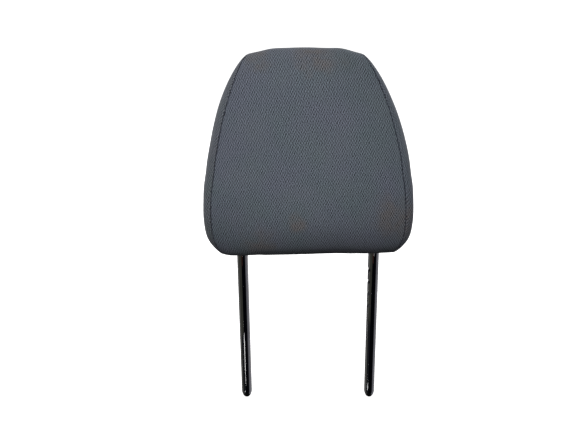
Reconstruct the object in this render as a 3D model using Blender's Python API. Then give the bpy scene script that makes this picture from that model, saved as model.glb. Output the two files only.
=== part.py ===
"""Car headrest: a foam cushion in a sewn cloth cover, clamped to a bent steel frame with two posts.

The origin is midway between the axes of the two posts, in the plane of the grommets' stop faces,
which is the underside that meets the seat. +Z points up, and -Y points forward, to the face that
the head rests on. Lengths are in metres.
"""

import math

import bmesh
import bpy
import numpy as np

# Clearance between neighbouring pieces
GAP = 0.0003

# Steel frame: one tube, bent into a U that stands on its open end
POST_RADIUS = 0.006
POST_WALL = 0.0025
POST_SPACING = 0.146
POST_REACH = 0.184
CROSSBAR_HEIGHT = 0.132
BEND_RADIUS = 0.028
TIP_LENGTH = 0.009
TIP_HOLE_RADIUS = 0.0013
TIP_WALL = 0.003
TIP_TAPER = 0.0025

# Adjustment notches in the inner side of the right post, and the stop nick below them
NOTCH_COUNT = 4
FIRST_NOTCH_DROP = 0.0225
NOTCH_PITCH = 0.0142
NOTCH_DEPTH = 0.0017
NOTCH_MOUTH = 0.0046
NOTCH_FLOOR = 0.0022
STOP_NICK_DROP = 0.084
STOP_NICK_DEPTH = 0.0007
STOP_NICK_MOUTH = 0.0022
STOP_NICK_FLOOR = 0.0009

# Grommets, through which the posts leave the cushion
FLANGE_RADIUS = 0.013
FLANGE_THICKNESS = 0.0018
FLANGE_BEVEL = 0.0009
SLEEVE_RADIUS = 0.0085
SLEEVE_BEAD = 0.0008
SLEEVE_BEAD_HEIGHT = 0.002
BORE_BEVEL = 0.0006

# Cushion seen from the side: the loop that each seam follows
SEAM_HEIGHT = 0.2065
UNDERSIDE_SINK = 0.001
HALF_DEPTH_AT_UNDERSIDE = 0.0435
HALF_DEPTH_AT_TOP = 0.0355
TOP_SETBACK = 0.004
HEIGHT_EXPONENT = 2.95
DEPTH_EXPONENT = 3.05

# Cushion seen from the front: half the distance between the seams, at heights above the underside
UNDERSIDE_HALF_WIDTH = 0.0934
WIDEST_HEIGHT = 0.040
WIDEST_HALF_WIDTH = 0.0989
MIDDLE_HEIGHT = 0.095
MIDDLE_HALF_WIDTH = 0.0945
SHOULDER_HEIGHT = 0.145
SHOULDER_HALF_WIDTH = 0.0829
BROW_HEIGHT = 0.180
BROW_HALF_WIDTH = 0.0704
TOP_HALF_WIDTH = 0.0577

# Padding's swell beyond the seams
FACE_CROWN = 0.007
TOP_CROWN = 0.006
CROWN_EXPONENT = 2.2
SIDE_BULGE_LOW = 0.0128
SIDE_BULGE_HIGH = 0.0075
BULGE_REACH_EXPONENT = 8.0
BULGE_EDGE_EXPONENT = 0.69

# Cover
CLOTH_THICKNESS = 0.0025

# Plastic core, which clamps the frame and carries the foam
CORE_BOTTOM = 0.016
CORE_ABOVE_CROSSBAR = 0.020
CORE_SIDE_ROOM = 0.0012
CORE_TAPER = 0.004
CORE_HALF_DEPTH = 0.020
CORE_WALL = 0.0025
CORE_BOTTOM_CORNER = 0.001
CORE_TOP_CORNER = 0.0315
RIB_THICKNESS = 0.0022
LOW_RIB_HEIGHT = 0.045
HIGH_RIB_HEIGHT = 0.105
UPRIGHT_RIB_OFFSET = 0.028

# Screws that hold the core's halves together
SCREW_RADIUS = 0.0017
SCREW_LENGTH = 0.028
SCREW_TIP = 0.0025
SCREW_HEAD_RADIUS = 0.0034
SCREW_HEAD_HEIGHT = 0.0022
SCREW_RECESS_WIDTH = 0.0011
SCREW_RECESS_SPAN = 0.0042
SCREW_RECESS_DEPTH = 0.0013
COUNTERBORE_DEPTH = 0.003
BOSS_RADIUS = 0.0056

# Hooked strips that close the cover's slot in the underside
STRIP_WALL = 0.0012
HOOK_RISE = 0.0028
HOOK_PLAY = 0.0028
CLOSURE_END_WEB = 0.008

# Fineness of the faceted shapes
LOOP_POINTS = 56
PROFILE_SAMPLES = 1600
CENTRE_COLUMNS = 13
SIDE_RINGS = 7
SIDE_RING_CROWDING = 1.5
ROUND_SIDES = 20
BEND_STEPS = 8
TIP_STEPS = 4
CORNER_STEPS = 5
SCREW_SIDES = 12
OVERCUT = 0.001

# Values that follow from the sizes above
POST_X = POST_SPACING / 2
UNDERSIDE = FLANGE_THICKNESS + GAP
BORE_RADIUS = POST_RADIUS + GAP
CORE_TOP = CROSSBAR_HEIGHT + CORE_ABOVE_CROSSBAR
CORE_HALF_WIDTH = POST_X + SLEEVE_RADIUS + SLEEVE_BEAD + GAP + CORE_SIDE_ROOM + CORE_WALL
CLOSURE_HALF_LENGTH = POST_X - FLANGE_RADIUS - CLOSURE_END_WEB


def clear_scene() -> None:
    """Remove every object that the opened scene holds."""
    for item in list(bpy.data.objects):
        bpy.data.objects.remove(item, do_unlink=True)


def make_material(name: str, colour: tuple, roughness: float, metallic: float = 0.0):
    """Return a Principled material with one colour, roughness and metallic value."""
    material = bpy.data.materials.new(name)
    material.use_nodes = True
    shader = material.node_tree.nodes["Principled BSDF"]
    shader.inputs["Base Color"].default_value = (*colour, 1.0)
    shader.inputs["Roughness"].default_value = roughness
    shader.inputs["Metallic"].default_value = metallic
    material.diffuse_color = (*colour, 1.0)
    return material


def make_mesh(name: str, points, faces: list):
    """Return a mesh with outward faces from points and the faces that join them."""
    mesh = bpy.data.meshes.new(name)
    mesh.from_pydata([tuple(float(v) for v in point) for point in points], [], faces)
    shape = bmesh.new()
    shape.from_mesh(mesh)
    bmesh.ops.recalc_face_normals(shape, faces=shape.faces)
    shape.to_mesh(mesh)
    shape.free()
    mesh.validate()
    return mesh


def add_object(name: str, mesh, material=None, parent=None, location=(0.0, 0.0, 0.0)):
    """Link a mesh into the scene as a named object."""
    item = bpy.data.objects.new(name, mesh)
    bpy.context.scene.collection.objects.link(item)
    item.location = location
    item.parent = parent
    if material is not None:
        mesh.materials.clear()
        mesh.materials.append(material)
        mesh.shade_smooth()
        mesh.set_sharp_from_angle(angle=math.radians(35))
    return item


def cut(target, mesh) -> None:
    """Cut a closed mesh from the target object, and keep the result as the target's mesh."""
    tool = add_object("cutter", mesh)
    tool.hide_render = True
    tool.display_type = "WIRE"
    modifier = target.modifiers.new("cut", "BOOLEAN")
    modifier.operation = "DIFFERENCE"
    modifier.solver = "EXACT"
    modifier.object = tool
    bpy.context.view_layer.update()
    evaluated = target.evaluated_get(bpy.context.evaluated_depsgraph_get())
    result = bpy.data.meshes.new_from_object(evaluated)
    result.name = target.data.name
    target.modifiers.remove(modifier)
    target.data = result
    bpy.data.objects.remove(tool, do_unlink=True)


def stack_faces(first: int, rings: int, sides: int, closed: bool = False) -> list:
    """Return the quads that join a stack of rings, whose points are numbered ring after ring."""
    faces = []
    for ring in range(rings if closed else rings - 1):
        here = first + ring * sides
        there = first + (ring + 1) % rings * sides
        for side in range(sides):
            after = (side + 1) % sides
            faces.append((here + side, here + after, there + after, there + side))
    return faces


def split_faces(quads: list, lean: int) -> list:
    """Return quads split into triangles, along their first diagonal for lean 1 or their other for -1.

    Skins that lie a small clearance apart are split alike, so that their facets stay parallel.
    """
    triangles = []
    for a, b, c, d in quads:
        if lean > 0:
            triangles += [(a, b, c), (a, c, d)]
        else:
            triangles += [(a, b, d), (b, c, d)]
    return triangles


def prism_mesh(outline, low_y: float, high_y: float):
    """Return a closed solid: an outline of (x, z) points, extruded along Y."""
    count = len(outline)
    points = [(x, low_y, z) for x, z in outline]
    points += [(x, high_y, z) for x, z in outline]
    faces = stack_faces(0, 2, count)
    faces.append(tuple(range(count)))
    faces.append(tuple(range(2 * count - 1, count - 1, -1)))
    return make_mesh("prism", points, faces)


def box_mesh(low: tuple, high: tuple):
    """Return a box between two opposite corners."""
    outline = [(low[0], low[2]), (high[0], low[2]), (high[0], high[2]), (low[0], high[2])]
    return prism_mesh(outline, low[1], high[1])


def turned_mesh(name: str, profile, sides: int, closed: bool = False):
    """Return a solid turned about Z from (radius, z) points.

    A closed profile makes a ring. An open profile has flat ends at its first and last points.
    """
    angles = np.arange(sides) * 2 * math.pi / sides
    points = [(r * math.cos(a), r * math.sin(a), z) for r, z in profile for a in angles]
    faces = stack_faces(0, len(profile), sides, closed)
    if not closed:
        last = (len(profile) - 1) * sides
        faces.append(tuple(range(sides)))
        faces.append(tuple(range(last + sides - 1, last - 1, -1)))
    return make_mesh(name, points, faces)


def placed(mesh, location: tuple, along_y: bool = False):
    """Return the mesh moved to a place, with its Z axis turned to +Y where asked."""
    points = np.array([vertex.co for vertex in mesh.vertices])
    if along_y:
        points = np.stack([points[:, 0], points[:, 2], -points[:, 1]], axis=1)
    points = points + np.array(location)
    mesh.vertices.foreach_set("co", points.ravel())
    mesh.update()
    return mesh


def rod_mesh(radius: float, start: tuple, length: float, sides: int, along_y: bool = False):
    """Return a plain cylinder that starts at a point and runs along +Z, or along +Y."""
    mesh = turned_mesh("rod", [(radius, 0.0), (radius, length)], sides)
    return placed(mesh, start, along_y)


def filleted(corners: list, radii: list) -> list:
    """Return a polygon whose corners are replaced by arcs of the given radii."""
    outline = []
    count = len(corners)
    for index in range(count):
        corner = np.array(corners[index])
        back = np.array(corners[index - 1]) - corner
        ahead = np.array(corners[(index + 1) % count]) - corner
        back /= np.linalg.norm(back)
        ahead /= np.linalg.norm(ahead)
        half_angle = math.acos(float(np.clip(back @ ahead, -1.0, 1.0))) / 2
        bisector = (back + ahead) / np.linalg.norm(back + ahead)
        centre = corner + bisector * radii[index] / math.sin(half_angle)
        start = corner + back * radii[index] / math.tan(half_angle) - centre
        end = corner + ahead * radii[index] / math.tan(half_angle) - centre
        turn = math.atan2(start[0] * end[1] - start[1] * end[0], float(start @ end))
        for step in range(CORNER_STEPS + 1):
            angle = turn * step / CORNER_STEPS
            x = start[0] * math.cos(angle) - start[1] * math.sin(angle)
            z = start[0] * math.sin(angle) + start[1] * math.cos(angle)
            outline.append((centre[0] + x, centre[1] + z))
    return outline


def smooth_through(heights: list, values: list, at: np.ndarray) -> np.ndarray:
    """Return a curve through points that never overshoots them, read at the given heights."""
    heights = np.array(heights)
    values = np.array(values)
    steps = np.diff(heights)
    slopes = np.diff(values) / steps
    tangents = np.concatenate([slopes[:1], np.zeros(len(slopes) - 1), slopes[-1:]])
    for index in range(1, len(slopes)):
        before, after = slopes[index - 1], slopes[index]
        if before * after > 0:
            tangents[index] = 2 * before * after / (before + after)
    piece = np.clip(np.searchsorted(heights, at) - 1, 0, len(steps) - 1)
    t = np.clip((at - heights[piece]) / steps[piece], 0.0, 1.0)
    rise = steps[piece]
    return (
        (2 * t**3 - 3 * t**2 + 1) * values[piece]
        + (t**3 - 2 * t**2 + t) * rise * tangents[piece]
        + (3 * t**2 - 2 * t**3) * values[piece + 1]
        + (t**3 - t**2) * rise * tangents[piece + 1]
    )


def seam_half_width(z: np.ndarray) -> np.ndarray:
    """Return half the distance between the two seams at each height z."""
    heights = [0.0, WIDEST_HEIGHT, MIDDLE_HEIGHT, SHOULDER_HEIGHT, BROW_HEIGHT, SEAM_HEIGHT]
    widths = [UNDERSIDE_HALF_WIDTH, WIDEST_HALF_WIDTH, MIDDLE_HALF_WIDTH]
    widths += [SHOULDER_HALF_WIDTH, BROW_HALF_WIDTH, TOP_HALF_WIDTH]
    return smooth_through(heights, widths, z - UNDERSIDE)


def seam_loop() -> np.ndarray:
    """Return the seam's (y, z) points, evenly spaced along the loop.

    The loop is a superellipse whose depth shrinks and whose middle moves back towards the top. Its
    lowest part is cut level, which makes the flat of the underside.
    """
    angle = np.linspace(0.0, 2 * math.pi, PROFILE_SAMPLES, endpoint=False)
    sine, cosine = np.sin(angle), np.cos(angle)
    height = SEAM_HEIGHT + UNDERSIDE_SINK
    share = 0.5 + 0.5 * np.sign(sine) * np.abs(sine) ** (2 / HEIGHT_EXPONENT)
    depth = HALF_DEPTH_AT_UNDERSIDE * (1 - share) + HALF_DEPTH_AT_TOP * share
    y = TOP_SETBACK * share + depth * np.sign(cosine) * np.abs(cosine) ** (2 / DEPTH_EXPONENT)
    z = np.maximum(UNDERSIDE - UNDERSIDE_SINK + height * share, UNDERSIDE)
    closed = np.stack([np.append(y, y[0]), np.append(z, z[0])], axis=1)
    travel = np.concatenate([[0.0], np.cumsum(np.linalg.norm(np.diff(closed, axis=0), axis=1))])
    stops = np.linspace(0.0, travel[-1], LOOP_POINTS, endpoint=False)
    return np.stack([np.interp(stops, travel, closed[:, axis]) for axis in (0, 1)], axis=1)


def loop_normals(loop: np.ndarray) -> np.ndarray:
    """Return the outward unit normals of a closed (y, z) loop."""
    along = np.roll(loop, -1, axis=0) - np.roll(loop, 1, axis=0)
    along /= np.linalg.norm(along, axis=1)[:, None]
    normals = np.stack([along[:, 1], -along[:, 0]], axis=1)
    outward = np.sign(np.sum((loop - loop.mean(axis=0)) * normals, axis=1))
    return normals * outward[:, None]


def cushion_rings() -> tuple:
    """Return the cushion's outer surface as a stack of rings from its left pole to its right pole.

    Each ring has LOOP_POINTS points. The two poles are rings of one repeated point. The second
    value is the index of the left seam's ring, and the third is that of the right seam's ring.
    """
    loop = seam_loop()
    normals = loop_normals(loop)
    half_width = seam_half_width(loop[:, 1])
    upward = np.clip(normals[:, 1], 0.0, 1.0)
    crown = FACE_CROWN * normals[:, 0] ** 2 + TOP_CROWN * upward**2
    centre_rings = []
    for across in np.linspace(-1.0, 1.0, CENTRE_COLUMNS):
        swell = crown * (1 - abs(across) ** CROWN_EXPONENT)
        profile = loop + normals * swell[:, None]
        centre_rings.append(np.column_stack([half_width * across, profile]))
    middle = loop.mean(axis=0)
    right_rings = []
    for step in range(1, SIDE_RINGS + 1):
        share = 1 - (step / SIDE_RINGS) ** SIDE_RING_CROWDING
        profile = middle + (loop - middle) * share
        height_share = (profile[:, 1] - UNDERSIDE) / SEAM_HEIGHT
        bulge = SIDE_BULGE_LOW * (1 - height_share) + SIDE_BULGE_HIGH * height_share
        bulge *= (1 - share**BULGE_REACH_EXPONENT) ** BULGE_EDGE_EXPONENT
        x = seam_half_width(profile[:, 1]) + bulge
        right_rings.append(np.column_stack([x, profile]))
    left_rings = [ring * np.array([-1.0, 1.0, 1.0]) for ring in reversed(right_rings)]
    rings = np.array(left_rings + centre_rings + right_rings)
    return rings, SIDE_RINGS, SIDE_RINGS + CENTRE_COLUMNS - 1


def ring_normals(rings: np.ndarray) -> np.ndarray:
    """Return the outward unit normals at the points of the cushion's stacked rings."""
    around = np.roll(rings, -1, axis=1) - np.roll(rings, 1, axis=1)
    across = np.gradient(rings, axis=0)
    normals = np.cross(around, across)
    middle = len(rings) // 2
    outward = rings[middle] - rings.mean(axis=(0, 1))
    normals *= np.sign(np.sum(normals[middle] * outward))
    normals[0] = (-1.0, 0.0, 0.0)
    normals[-1] = (1.0, 0.0, 0.0)
    return normals / np.linalg.norm(normals, axis=2)[:, :, None]


def cushion_skin(depth: float) -> np.ndarray:
    """Return the cushion's rings, moved inwards by a depth along the surface's normals."""
    rings, _, _ = cushion_rings()
    return rings - ring_normals(rings) * depth


def centre_panel_mesh():
    """Return the cover's band, which runs over the front, the top, the back and the underside."""
    _, left_seam, right_seam = cushion_rings()
    outer = cushion_skin(0.0)[left_seam:right_seam + 1]
    inner = cushion_skin(CLOTH_THICKNESS)[left_seam:right_seam + 1]
    for skin in (outer, inner):
        skin[0, :, 0] += GAP / 2
        skin[-1, :, 0] -= GAP / 2
    rings = np.concatenate([outer, inner[::-1]])
    half = len(outer) * LOOP_POINTS
    quads = stack_faces(0, len(rings), LOOP_POINTS, closed=True)
    faces = split_faces(quads[:half], 1) + split_faces(quads[half:], -1)
    return make_mesh("cover_centre_panel", rings.reshape(-1, 3), faces)


def dish_faces(first: int, rings: int, lean: int) -> list:
    """Return the faces of a dish: stacked rings, closed to one point after the last ring."""
    faces = split_faces(stack_faces(first, rings, LOOP_POINTS), lean)
    last = first + (rings - 1) * LOOP_POINTS
    pole = first + rings * LOOP_POINTS
    faces += [(last + side, last + (side + 1) % LOOP_POINTS, pole) for side in range(LOOP_POINTS)]
    return faces


def side_panel_mesh(side: int):
    """Return one side of the cover, a dish of cloth; side is -1 for the left and 1 for the right."""
    _, left_seam, right_seam = cushion_rings()
    points = []
    faces = []
    for depth in (0.0, CLOTH_THICKNESS):
        skin = cushion_skin(depth)
        rings = skin[right_seam:] if side > 0 else skin[left_seam::-1]
        rings[0, :, 0] += side * GAP / 2
        faces += dish_faces(len(points), SIDE_RINGS, side)
        points += [tuple(point) for point in rings[:-1].reshape(-1, 3)]
        points.append(tuple(rings[-1, 0]))
    inner_first = SIDE_RINGS * LOOP_POINTS + 1
    for index in range(LOOP_POINTS):
        after = (index + 1) % LOOP_POINTS
        faces.append((index, after, inner_first + after, inner_first + index))
    return make_mesh("cover_side", points, faces)


def foam_block_mesh():
    """Return the foam's outer form, a clearance inside the cover."""
    skin = cushion_skin(CLOTH_THICKNESS + GAP)
    inside = skin[1:-1]
    points = [tuple(point) for point in inside.reshape(-1, 3)]
    left_pole = len(points)
    points += [tuple(skin[0, 0]), tuple(skin[-1, 0])]
    faces = split_faces(stack_faces(0, len(inside), LOOP_POINTS), 1)
    last = (len(inside) - 1) * LOOP_POINTS
    for index in range(LOOP_POINTS):
        after = (index + 1) % LOOP_POINTS
        faces.append((index, after, left_pole))
        faces.append((last + index, last + after, left_pole + 1))
    return make_mesh("foam_body", points, faces)


def frame_path() -> list:
    """Return the frame's centre line above its tips: (x, z, direction angle) from left to right."""
    bend_z = CROSSBAR_HEIGHT - BEND_RADIUS
    bend_x = POST_X - BEND_RADIUS
    stations = []
    for step in range(BEND_STEPS + 1):
        turn = math.pi / 2 * step / BEND_STEPS
        x = -bend_x - BEND_RADIUS * math.cos(turn)
        z = bend_z + BEND_RADIUS * math.sin(turn)
        stations.append((x, z, math.pi / 2 - turn))
    mirrored = [(-x, z, -angle) for x, z, angle in reversed(stations)]
    return stations + mirrored


def tip_profile() -> list:
    """Return the domed tip's (height above the tip, radius) pairs, from its hole to the full post."""
    pairs = []
    for step in range(TIP_STEPS + 1):
        turn = math.pi / 2 * step / TIP_STEPS
        radius = TIP_HOLE_RADIUS + (POST_RADIUS - TIP_HOLE_RADIUS) * math.sin(turn)
        pairs.append((TIP_LENGTH * (1 - math.cos(turn)), radius))
    return pairs


def ring_on_path(x: float, z: float, angle: float, radius: float) -> list:
    """Return a ring of points round the frame's centre line, whose direction has the given angle."""
    points = []
    for side in range(ROUND_SIDES):
        turn = 2 * math.pi * side / ROUND_SIDES
        outward = radius * math.cos(turn)
        rearward = radius * math.sin(turn)
        points.append((x - outward * math.sin(angle), rearward, z + outward * math.cos(angle)))
    return points


def frame_rings(ends: list, radius: float) -> list:
    """Return the tube's rings from the left tip, over the crossbar, to the right tip."""
    upward = math.pi / 2
    left = [ring_on_path(-POST_X, height - POST_REACH, upward, r) for height, r in ends]
    arch = [ring_on_path(x, z, angle, radius) for x, z, angle in frame_path()]
    right = [ring_on_path(POST_X, height - POST_REACH, -upward, r) for height, r in reversed(ends)]
    return left + arch + right


def frame_mesh():
    """Return the bent tube, open only at the small hole in each domed tip."""
    inner_ends = [(TIP_WALL, TIP_HOLE_RADIUS), (TIP_WALL + TIP_TAPER, POST_RADIUS - POST_WALL)]
    outer = frame_rings(tip_profile(), POST_RADIUS)
    inner = frame_rings(inner_ends, POST_RADIUS - POST_WALL)
    rings = outer + inner[::-1]
    faces = stack_faces(0, len(rings), ROUND_SIDES, closed=True)
    return make_mesh("post_frame", [point for ring in rings for point in ring], faces)


def frame_clearance_mesh():
    """Return the room that the frame needs inside the core: a solid rod a clearance wider."""
    radius = POST_RADIUS + GAP
    rings = frame_rings([(0.0, radius)], radius)
    count = len(rings) * ROUND_SIDES
    faces = stack_faces(0, len(rings), ROUND_SIDES)
    faces.append(tuple(range(ROUND_SIDES)))
    faces.append(tuple(range(count - 1, count - ROUND_SIDES - 1, -1)))
    return make_mesh("room", [point for ring in rings for point in ring], faces)


def notch_mesh(drop: float, depth: float, mouth: float, floor: float):
    """Return the cutter of one notch: a wedge with a level floor, across the right post's inner side."""
    surface = POST_X - POST_RADIUS
    slope = (mouth - floor) / (2 * depth)
    outside = floor / 2 + slope * (depth + OVERCUT)
    outline = [
        (surface - OVERCUT, -drop - outside),
        (surface + depth, -drop - floor / 2),
        (surface + depth, -drop + floor / 2),
        (surface - OVERCUT, -drop + outside),
    ]
    reach = POST_RADIUS + OVERCUT
    return prism_mesh(outline, -reach, reach)


def grommet_mesh():
    """Return one grommet: a flange under the cover and a sleeve whose bead locks in the core."""
    bead_bottom = CORE_BOTTOM + CORE_WALL + GAP
    bead_top = bead_bottom + SLEEVE_BEAD_HEIGHT
    bead_radius = SLEEVE_RADIUS + SLEEVE_BEAD
    profile = [
        (BORE_RADIUS + BORE_BEVEL, 0.0),
        (FLANGE_RADIUS - FLANGE_BEVEL, 0.0),
        (FLANGE_RADIUS, FLANGE_BEVEL),
        (FLANGE_RADIUS, FLANGE_THICKNESS),
        (SLEEVE_RADIUS, FLANGE_THICKNESS),
        (SLEEVE_RADIUS, bead_bottom),
        (bead_radius, bead_bottom),
        (bead_radius, bead_bottom + SLEEVE_BEAD_HEIGHT / 3),
        (SLEEVE_RADIUS, bead_top),
        (BORE_RADIUS, bead_top),
        (BORE_RADIUS, BORE_BEVEL),
    ]
    return turned_mesh("grommet", profile, ROUND_SIDES, closed=True)


def core_outline(offset: float) -> list:
    """Return the core's outline from the front, moved outwards by an offset.

    The named corner radii are those of the inner side of the core's wall.
    """
    height = CORE_TOP - CORE_BOTTOM
    side_shift = offset * math.hypot(height, CORE_TAPER) / height
    low = CORE_BOTTOM - offset
    high = CORE_TOP + offset
    low_x = CORE_HALF_WIDTH + side_shift + CORE_TAPER * offset / height
    high_x = CORE_HALF_WIDTH - CORE_TAPER + side_shift - CORE_TAPER * offset / height
    corners = [(-low_x, low), (low_x, low), (high_x, high), (-high_x, high)]
    bottom_radius = CORE_BOTTOM_CORNER + CORE_WALL + offset
    top_radius = CORE_TOP_CORNER + CORE_WALL + offset
    return filleted(corners, [bottom_radius, bottom_radius, top_radius, top_radius])


def core_pocket(low_y: float, high_y: float):
    """Return the object that hollows one half of the core, with its ribs and bosses left standing."""
    pocket = add_object("pocket", prism_mesh(core_outline(-CORE_WALL), low_y, high_y))
    reach_y = CORE_HALF_DEPTH + OVERCUT
    half = RIB_THICKNESS / 2
    for height in (LOW_RIB_HEIGHT, HIGH_RIB_HEIGHT):
        low = (-CORE_HALF_WIDTH, -reach_y, height - half)
        high = (CORE_HALF_WIDTH, reach_y, height + half)
        cut(pocket, box_mesh(low, high))
    for x in (-UPRIGHT_RIB_OFFSET, UPRIGHT_RIB_OFFSET):
        cut(pocket, box_mesh((x - half, -reach_y, 0.0), (x + half, reach_y, CORE_TOP)))
    for x, z in screw_places():
        boss = rod_mesh(BOSS_RADIUS, (x, -reach_y, z), 2 * reach_y, SCREW_SIDES, along_y=True)
        cut(pocket, boss)
    return pocket


def core_half(name: str, side: int, material, parent):
    """Add one half of the core; side is -1 for the front half and 1 for the rear half."""
    near, far = side * GAP / 2, side * CORE_HALF_DEPTH
    floor = side * (CORE_HALF_DEPTH - CORE_WALL)
    half = add_object(name, prism_mesh(core_outline(0.0), min(near, far), max(near, far)), material, parent)
    pocket = core_pocket(min(-side * OVERCUT, floor), max(-side * OVERCUT, floor))
    cut(half, pocket.data.copy())
    bpy.data.objects.remove(pocket, do_unlink=True)
    cut(half, frame_clearance_mesh())
    hole_depth = CORE_BOTTOM + CORE_WALL + OVERCUT
    for x in (-POST_X, POST_X):
        cut(half, rod_mesh(SLEEVE_RADIUS + GAP, (x, 0.0, 0.0), hole_depth, ROUND_SIDES))
    for x, z in screw_places():
        for hole in screw_room(x, z):
            cut(half, hole)
    return half


def screw_places() -> list:
    """Return the (x, z) places of the core's screws, where its ribs cross."""
    heights = (LOW_RIB_HEIGHT, HIGH_RIB_HEIGHT)
    return [(x, z) for z in heights for x in (-UPRIGHT_RIB_OFFSET, UPRIGHT_RIB_OFFSET)]


def screw_room(x: float, z: float) -> list:
    """Return the meshes that cut a screw's hole and the counterbore for its head."""
    seat = CORE_HALF_DEPTH - COUNTERBORE_DEPTH
    start = seat - SCREW_LENGTH - GAP
    depth = SCREW_LENGTH + GAP + OVERCUT
    hole = rod_mesh(SCREW_RADIUS + GAP, (x, start, z), depth, SCREW_SIDES, along_y=True)
    head_room = COUNTERBORE_DEPTH + OVERCUT
    counterbore = rod_mesh(SCREW_HEAD_RADIUS + GAP, (x, seat, z), head_room, SCREW_SIDES, along_y=True)
    return [hole, counterbore]


def screw_mesh():
    """Return one screw along Y: its head's underside is at the origin and its tip at -Y."""
    profile = [
        (SCREW_RADIUS / 3, -SCREW_LENGTH),
        (SCREW_RADIUS, -SCREW_LENGTH + SCREW_TIP),
        (SCREW_RADIUS, 0.0),
        (SCREW_HEAD_RADIUS, 0.0),
        (SCREW_HEAD_RADIUS, SCREW_HEAD_HEIGHT * 0.6),
        (SCREW_HEAD_RADIUS * 0.75, SCREW_HEAD_HEIGHT),
    ]
    return placed(turned_mesh("core_screw", profile, SCREW_SIDES), (0.0, 0.0, 0.0), along_y=True)


def recess_mesh():
    """Return the cutter of the cross recess in a screw's head."""
    arm, span = SCREW_RECESS_WIDTH / 2, SCREW_RECESS_SPAN / 2
    outline = []
    for turn in range(4):
        for x, z in ((arm, arm), (arm, span), (-arm, span)):
            for _ in range(turn):
                x, z = -z, x
            outline.append((x, z))
    floor = SCREW_HEAD_HEIGHT - SCREW_RECESS_DEPTH
    return prism_mesh(outline, floor, SCREW_HEAD_HEIGHT + OVERCUT)


def closure_sizes() -> dict:
    """Return the Y and Z places that the two hooked strips share, front to back."""
    lip = STRIP_WALL + GAP
    rear_lip_front = -STRIP_WALL / 2 - lip
    return {
        "front_leg": rear_lip_front - HOOK_PLAY / 2 - STRIP_WALL,
        "rear_lip": rear_lip_front,
        "front_lip": rear_lip_front + lip,
        "rear_leg": rear_lip_front + 2 * lip,
        "back": rear_lip_front + 2 * lip + STRIP_WALL,
        "floor": UNDERSIDE,
        "front_lip_top": UNDERSIDE + STRIP_WALL + HOOK_RISE,
        "bar": UNDERSIDE + STRIP_WALL + HOOK_RISE + HOOK_PLAY,
        "top": UNDERSIDE + 2 * STRIP_WALL + HOOK_RISE + HOOK_PLAY,
    }


def strip_mesh(name: str, outline: list):
    """Return a strip: an outline of (y, z) points, extruded along X over the closure's length."""
    count = len(outline)
    points = [(-CLOSURE_HALF_LENGTH, y, z) for y, z in outline]
    points += [(CLOSURE_HALF_LENGTH, y, z) for y, z in outline]
    faces = stack_faces(0, 2, count)
    faces.append(tuple(range(count)))
    faces.append(tuple(range(2 * count - 1, count - 1, -1)))
    return make_mesh(name, points, faces)


def front_strip_outline() -> list:
    """Return the front strip's section: a leg, a foot under the cover and a lip that points up."""
    at = closure_sizes()
    foot = at["floor"] + STRIP_WALL
    lip_back = at["front_lip"] + STRIP_WALL
    return [
        (at["front_leg"], at["floor"]),
        (lip_back, at["floor"]),
        (lip_back, at["front_lip_top"]),
        (at["front_lip"], at["front_lip_top"]),
        (at["front_lip"], foot),
        (at["front_leg"] + STRIP_WALL, foot),
        (at["front_leg"] + STRIP_WALL, at["top"]),
        (at["front_leg"], at["top"]),
    ]


def rear_strip_outline() -> list:
    """Return the rear strip's section: a leg, a bar above the front lip and a lip that points down."""
    at = closure_sizes()
    lip_foot = at["floor"] + STRIP_WALL + GAP
    return [
        (at["back"], at["floor"]),
        (at["back"], at["top"]),
        (at["rear_lip"], at["top"]),
        (at["rear_lip"], lip_foot),
        (at["rear_lip"] + STRIP_WALL, lip_foot),
        (at["rear_lip"] + STRIP_WALL, at["bar"]),
        (at["rear_leg"], at["bar"]),
        (at["rear_leg"], at["floor"]),
    ]


def closure_room_mesh(top: float):
    """Return the box that cuts the closure's slot, up to a given height."""
    at = closure_sizes()
    reach_x = CLOSURE_HALF_LENGTH + GAP
    low = (-reach_x, at["front_leg"] - GAP, UNDERSIDE - OVERCUT)
    return box_mesh(low, (reach_x, at["back"] + GAP, top))


def sleeve_hole_mesh(x: float):
    """Return the cutter of a sleeve's hole, from below the cover up into the core's room."""
    return rod_mesh(SLEEVE_RADIUS + GAP, (x, 0.0, 0.0), CORE_BOTTOM, ROUND_SIDES)


def build_frame(material, parent) -> None:
    """Add the steel frame with its notches and its stop nick."""
    frame = add_object("post_frame", frame_mesh(), material, parent)
    for index in range(NOTCH_COUNT):
        drop = FIRST_NOTCH_DROP + index * NOTCH_PITCH
        cut(frame, notch_mesh(drop, NOTCH_DEPTH, NOTCH_MOUTH, NOTCH_FLOOR))
    nick = notch_mesh(STOP_NICK_DROP, STOP_NICK_DEPTH, STOP_NICK_MOUTH, STOP_NICK_FLOOR)
    cut(frame, nick)


def build_core(material, steel, parent) -> None:
    """Add the core's two halves and the four screws that hold them together."""
    core_half("core_front_shell", -1, material, parent)
    core_half("core_rear_shell", 1, material, parent)
    mesh = screw_mesh()
    seat = CORE_HALF_DEPTH - COUNTERBORE_DEPTH + GAP
    for number, (x, z) in enumerate(screw_places(), start=1):
        screw = add_object(f"core_screw_{number}", mesh.copy(), steel, parent, (x, seat, z))
        cut(screw, placed(recess_mesh(), (x, seat, z)))


def build_foam(material, parent) -> None:
    """Add the foam, hollowed for the core, the sleeves and the closure."""
    foam = add_object("foam_body", foam_block_mesh(), material, parent)
    reach = CORE_HALF_DEPTH + GAP
    cut(foam, prism_mesh(core_outline(GAP), -reach, reach))
    for x in (-POST_X, POST_X):
        cut(foam, sleeve_hole_mesh(x))
    cut(foam, closure_room_mesh(closure_sizes()["top"] + GAP))


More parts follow.
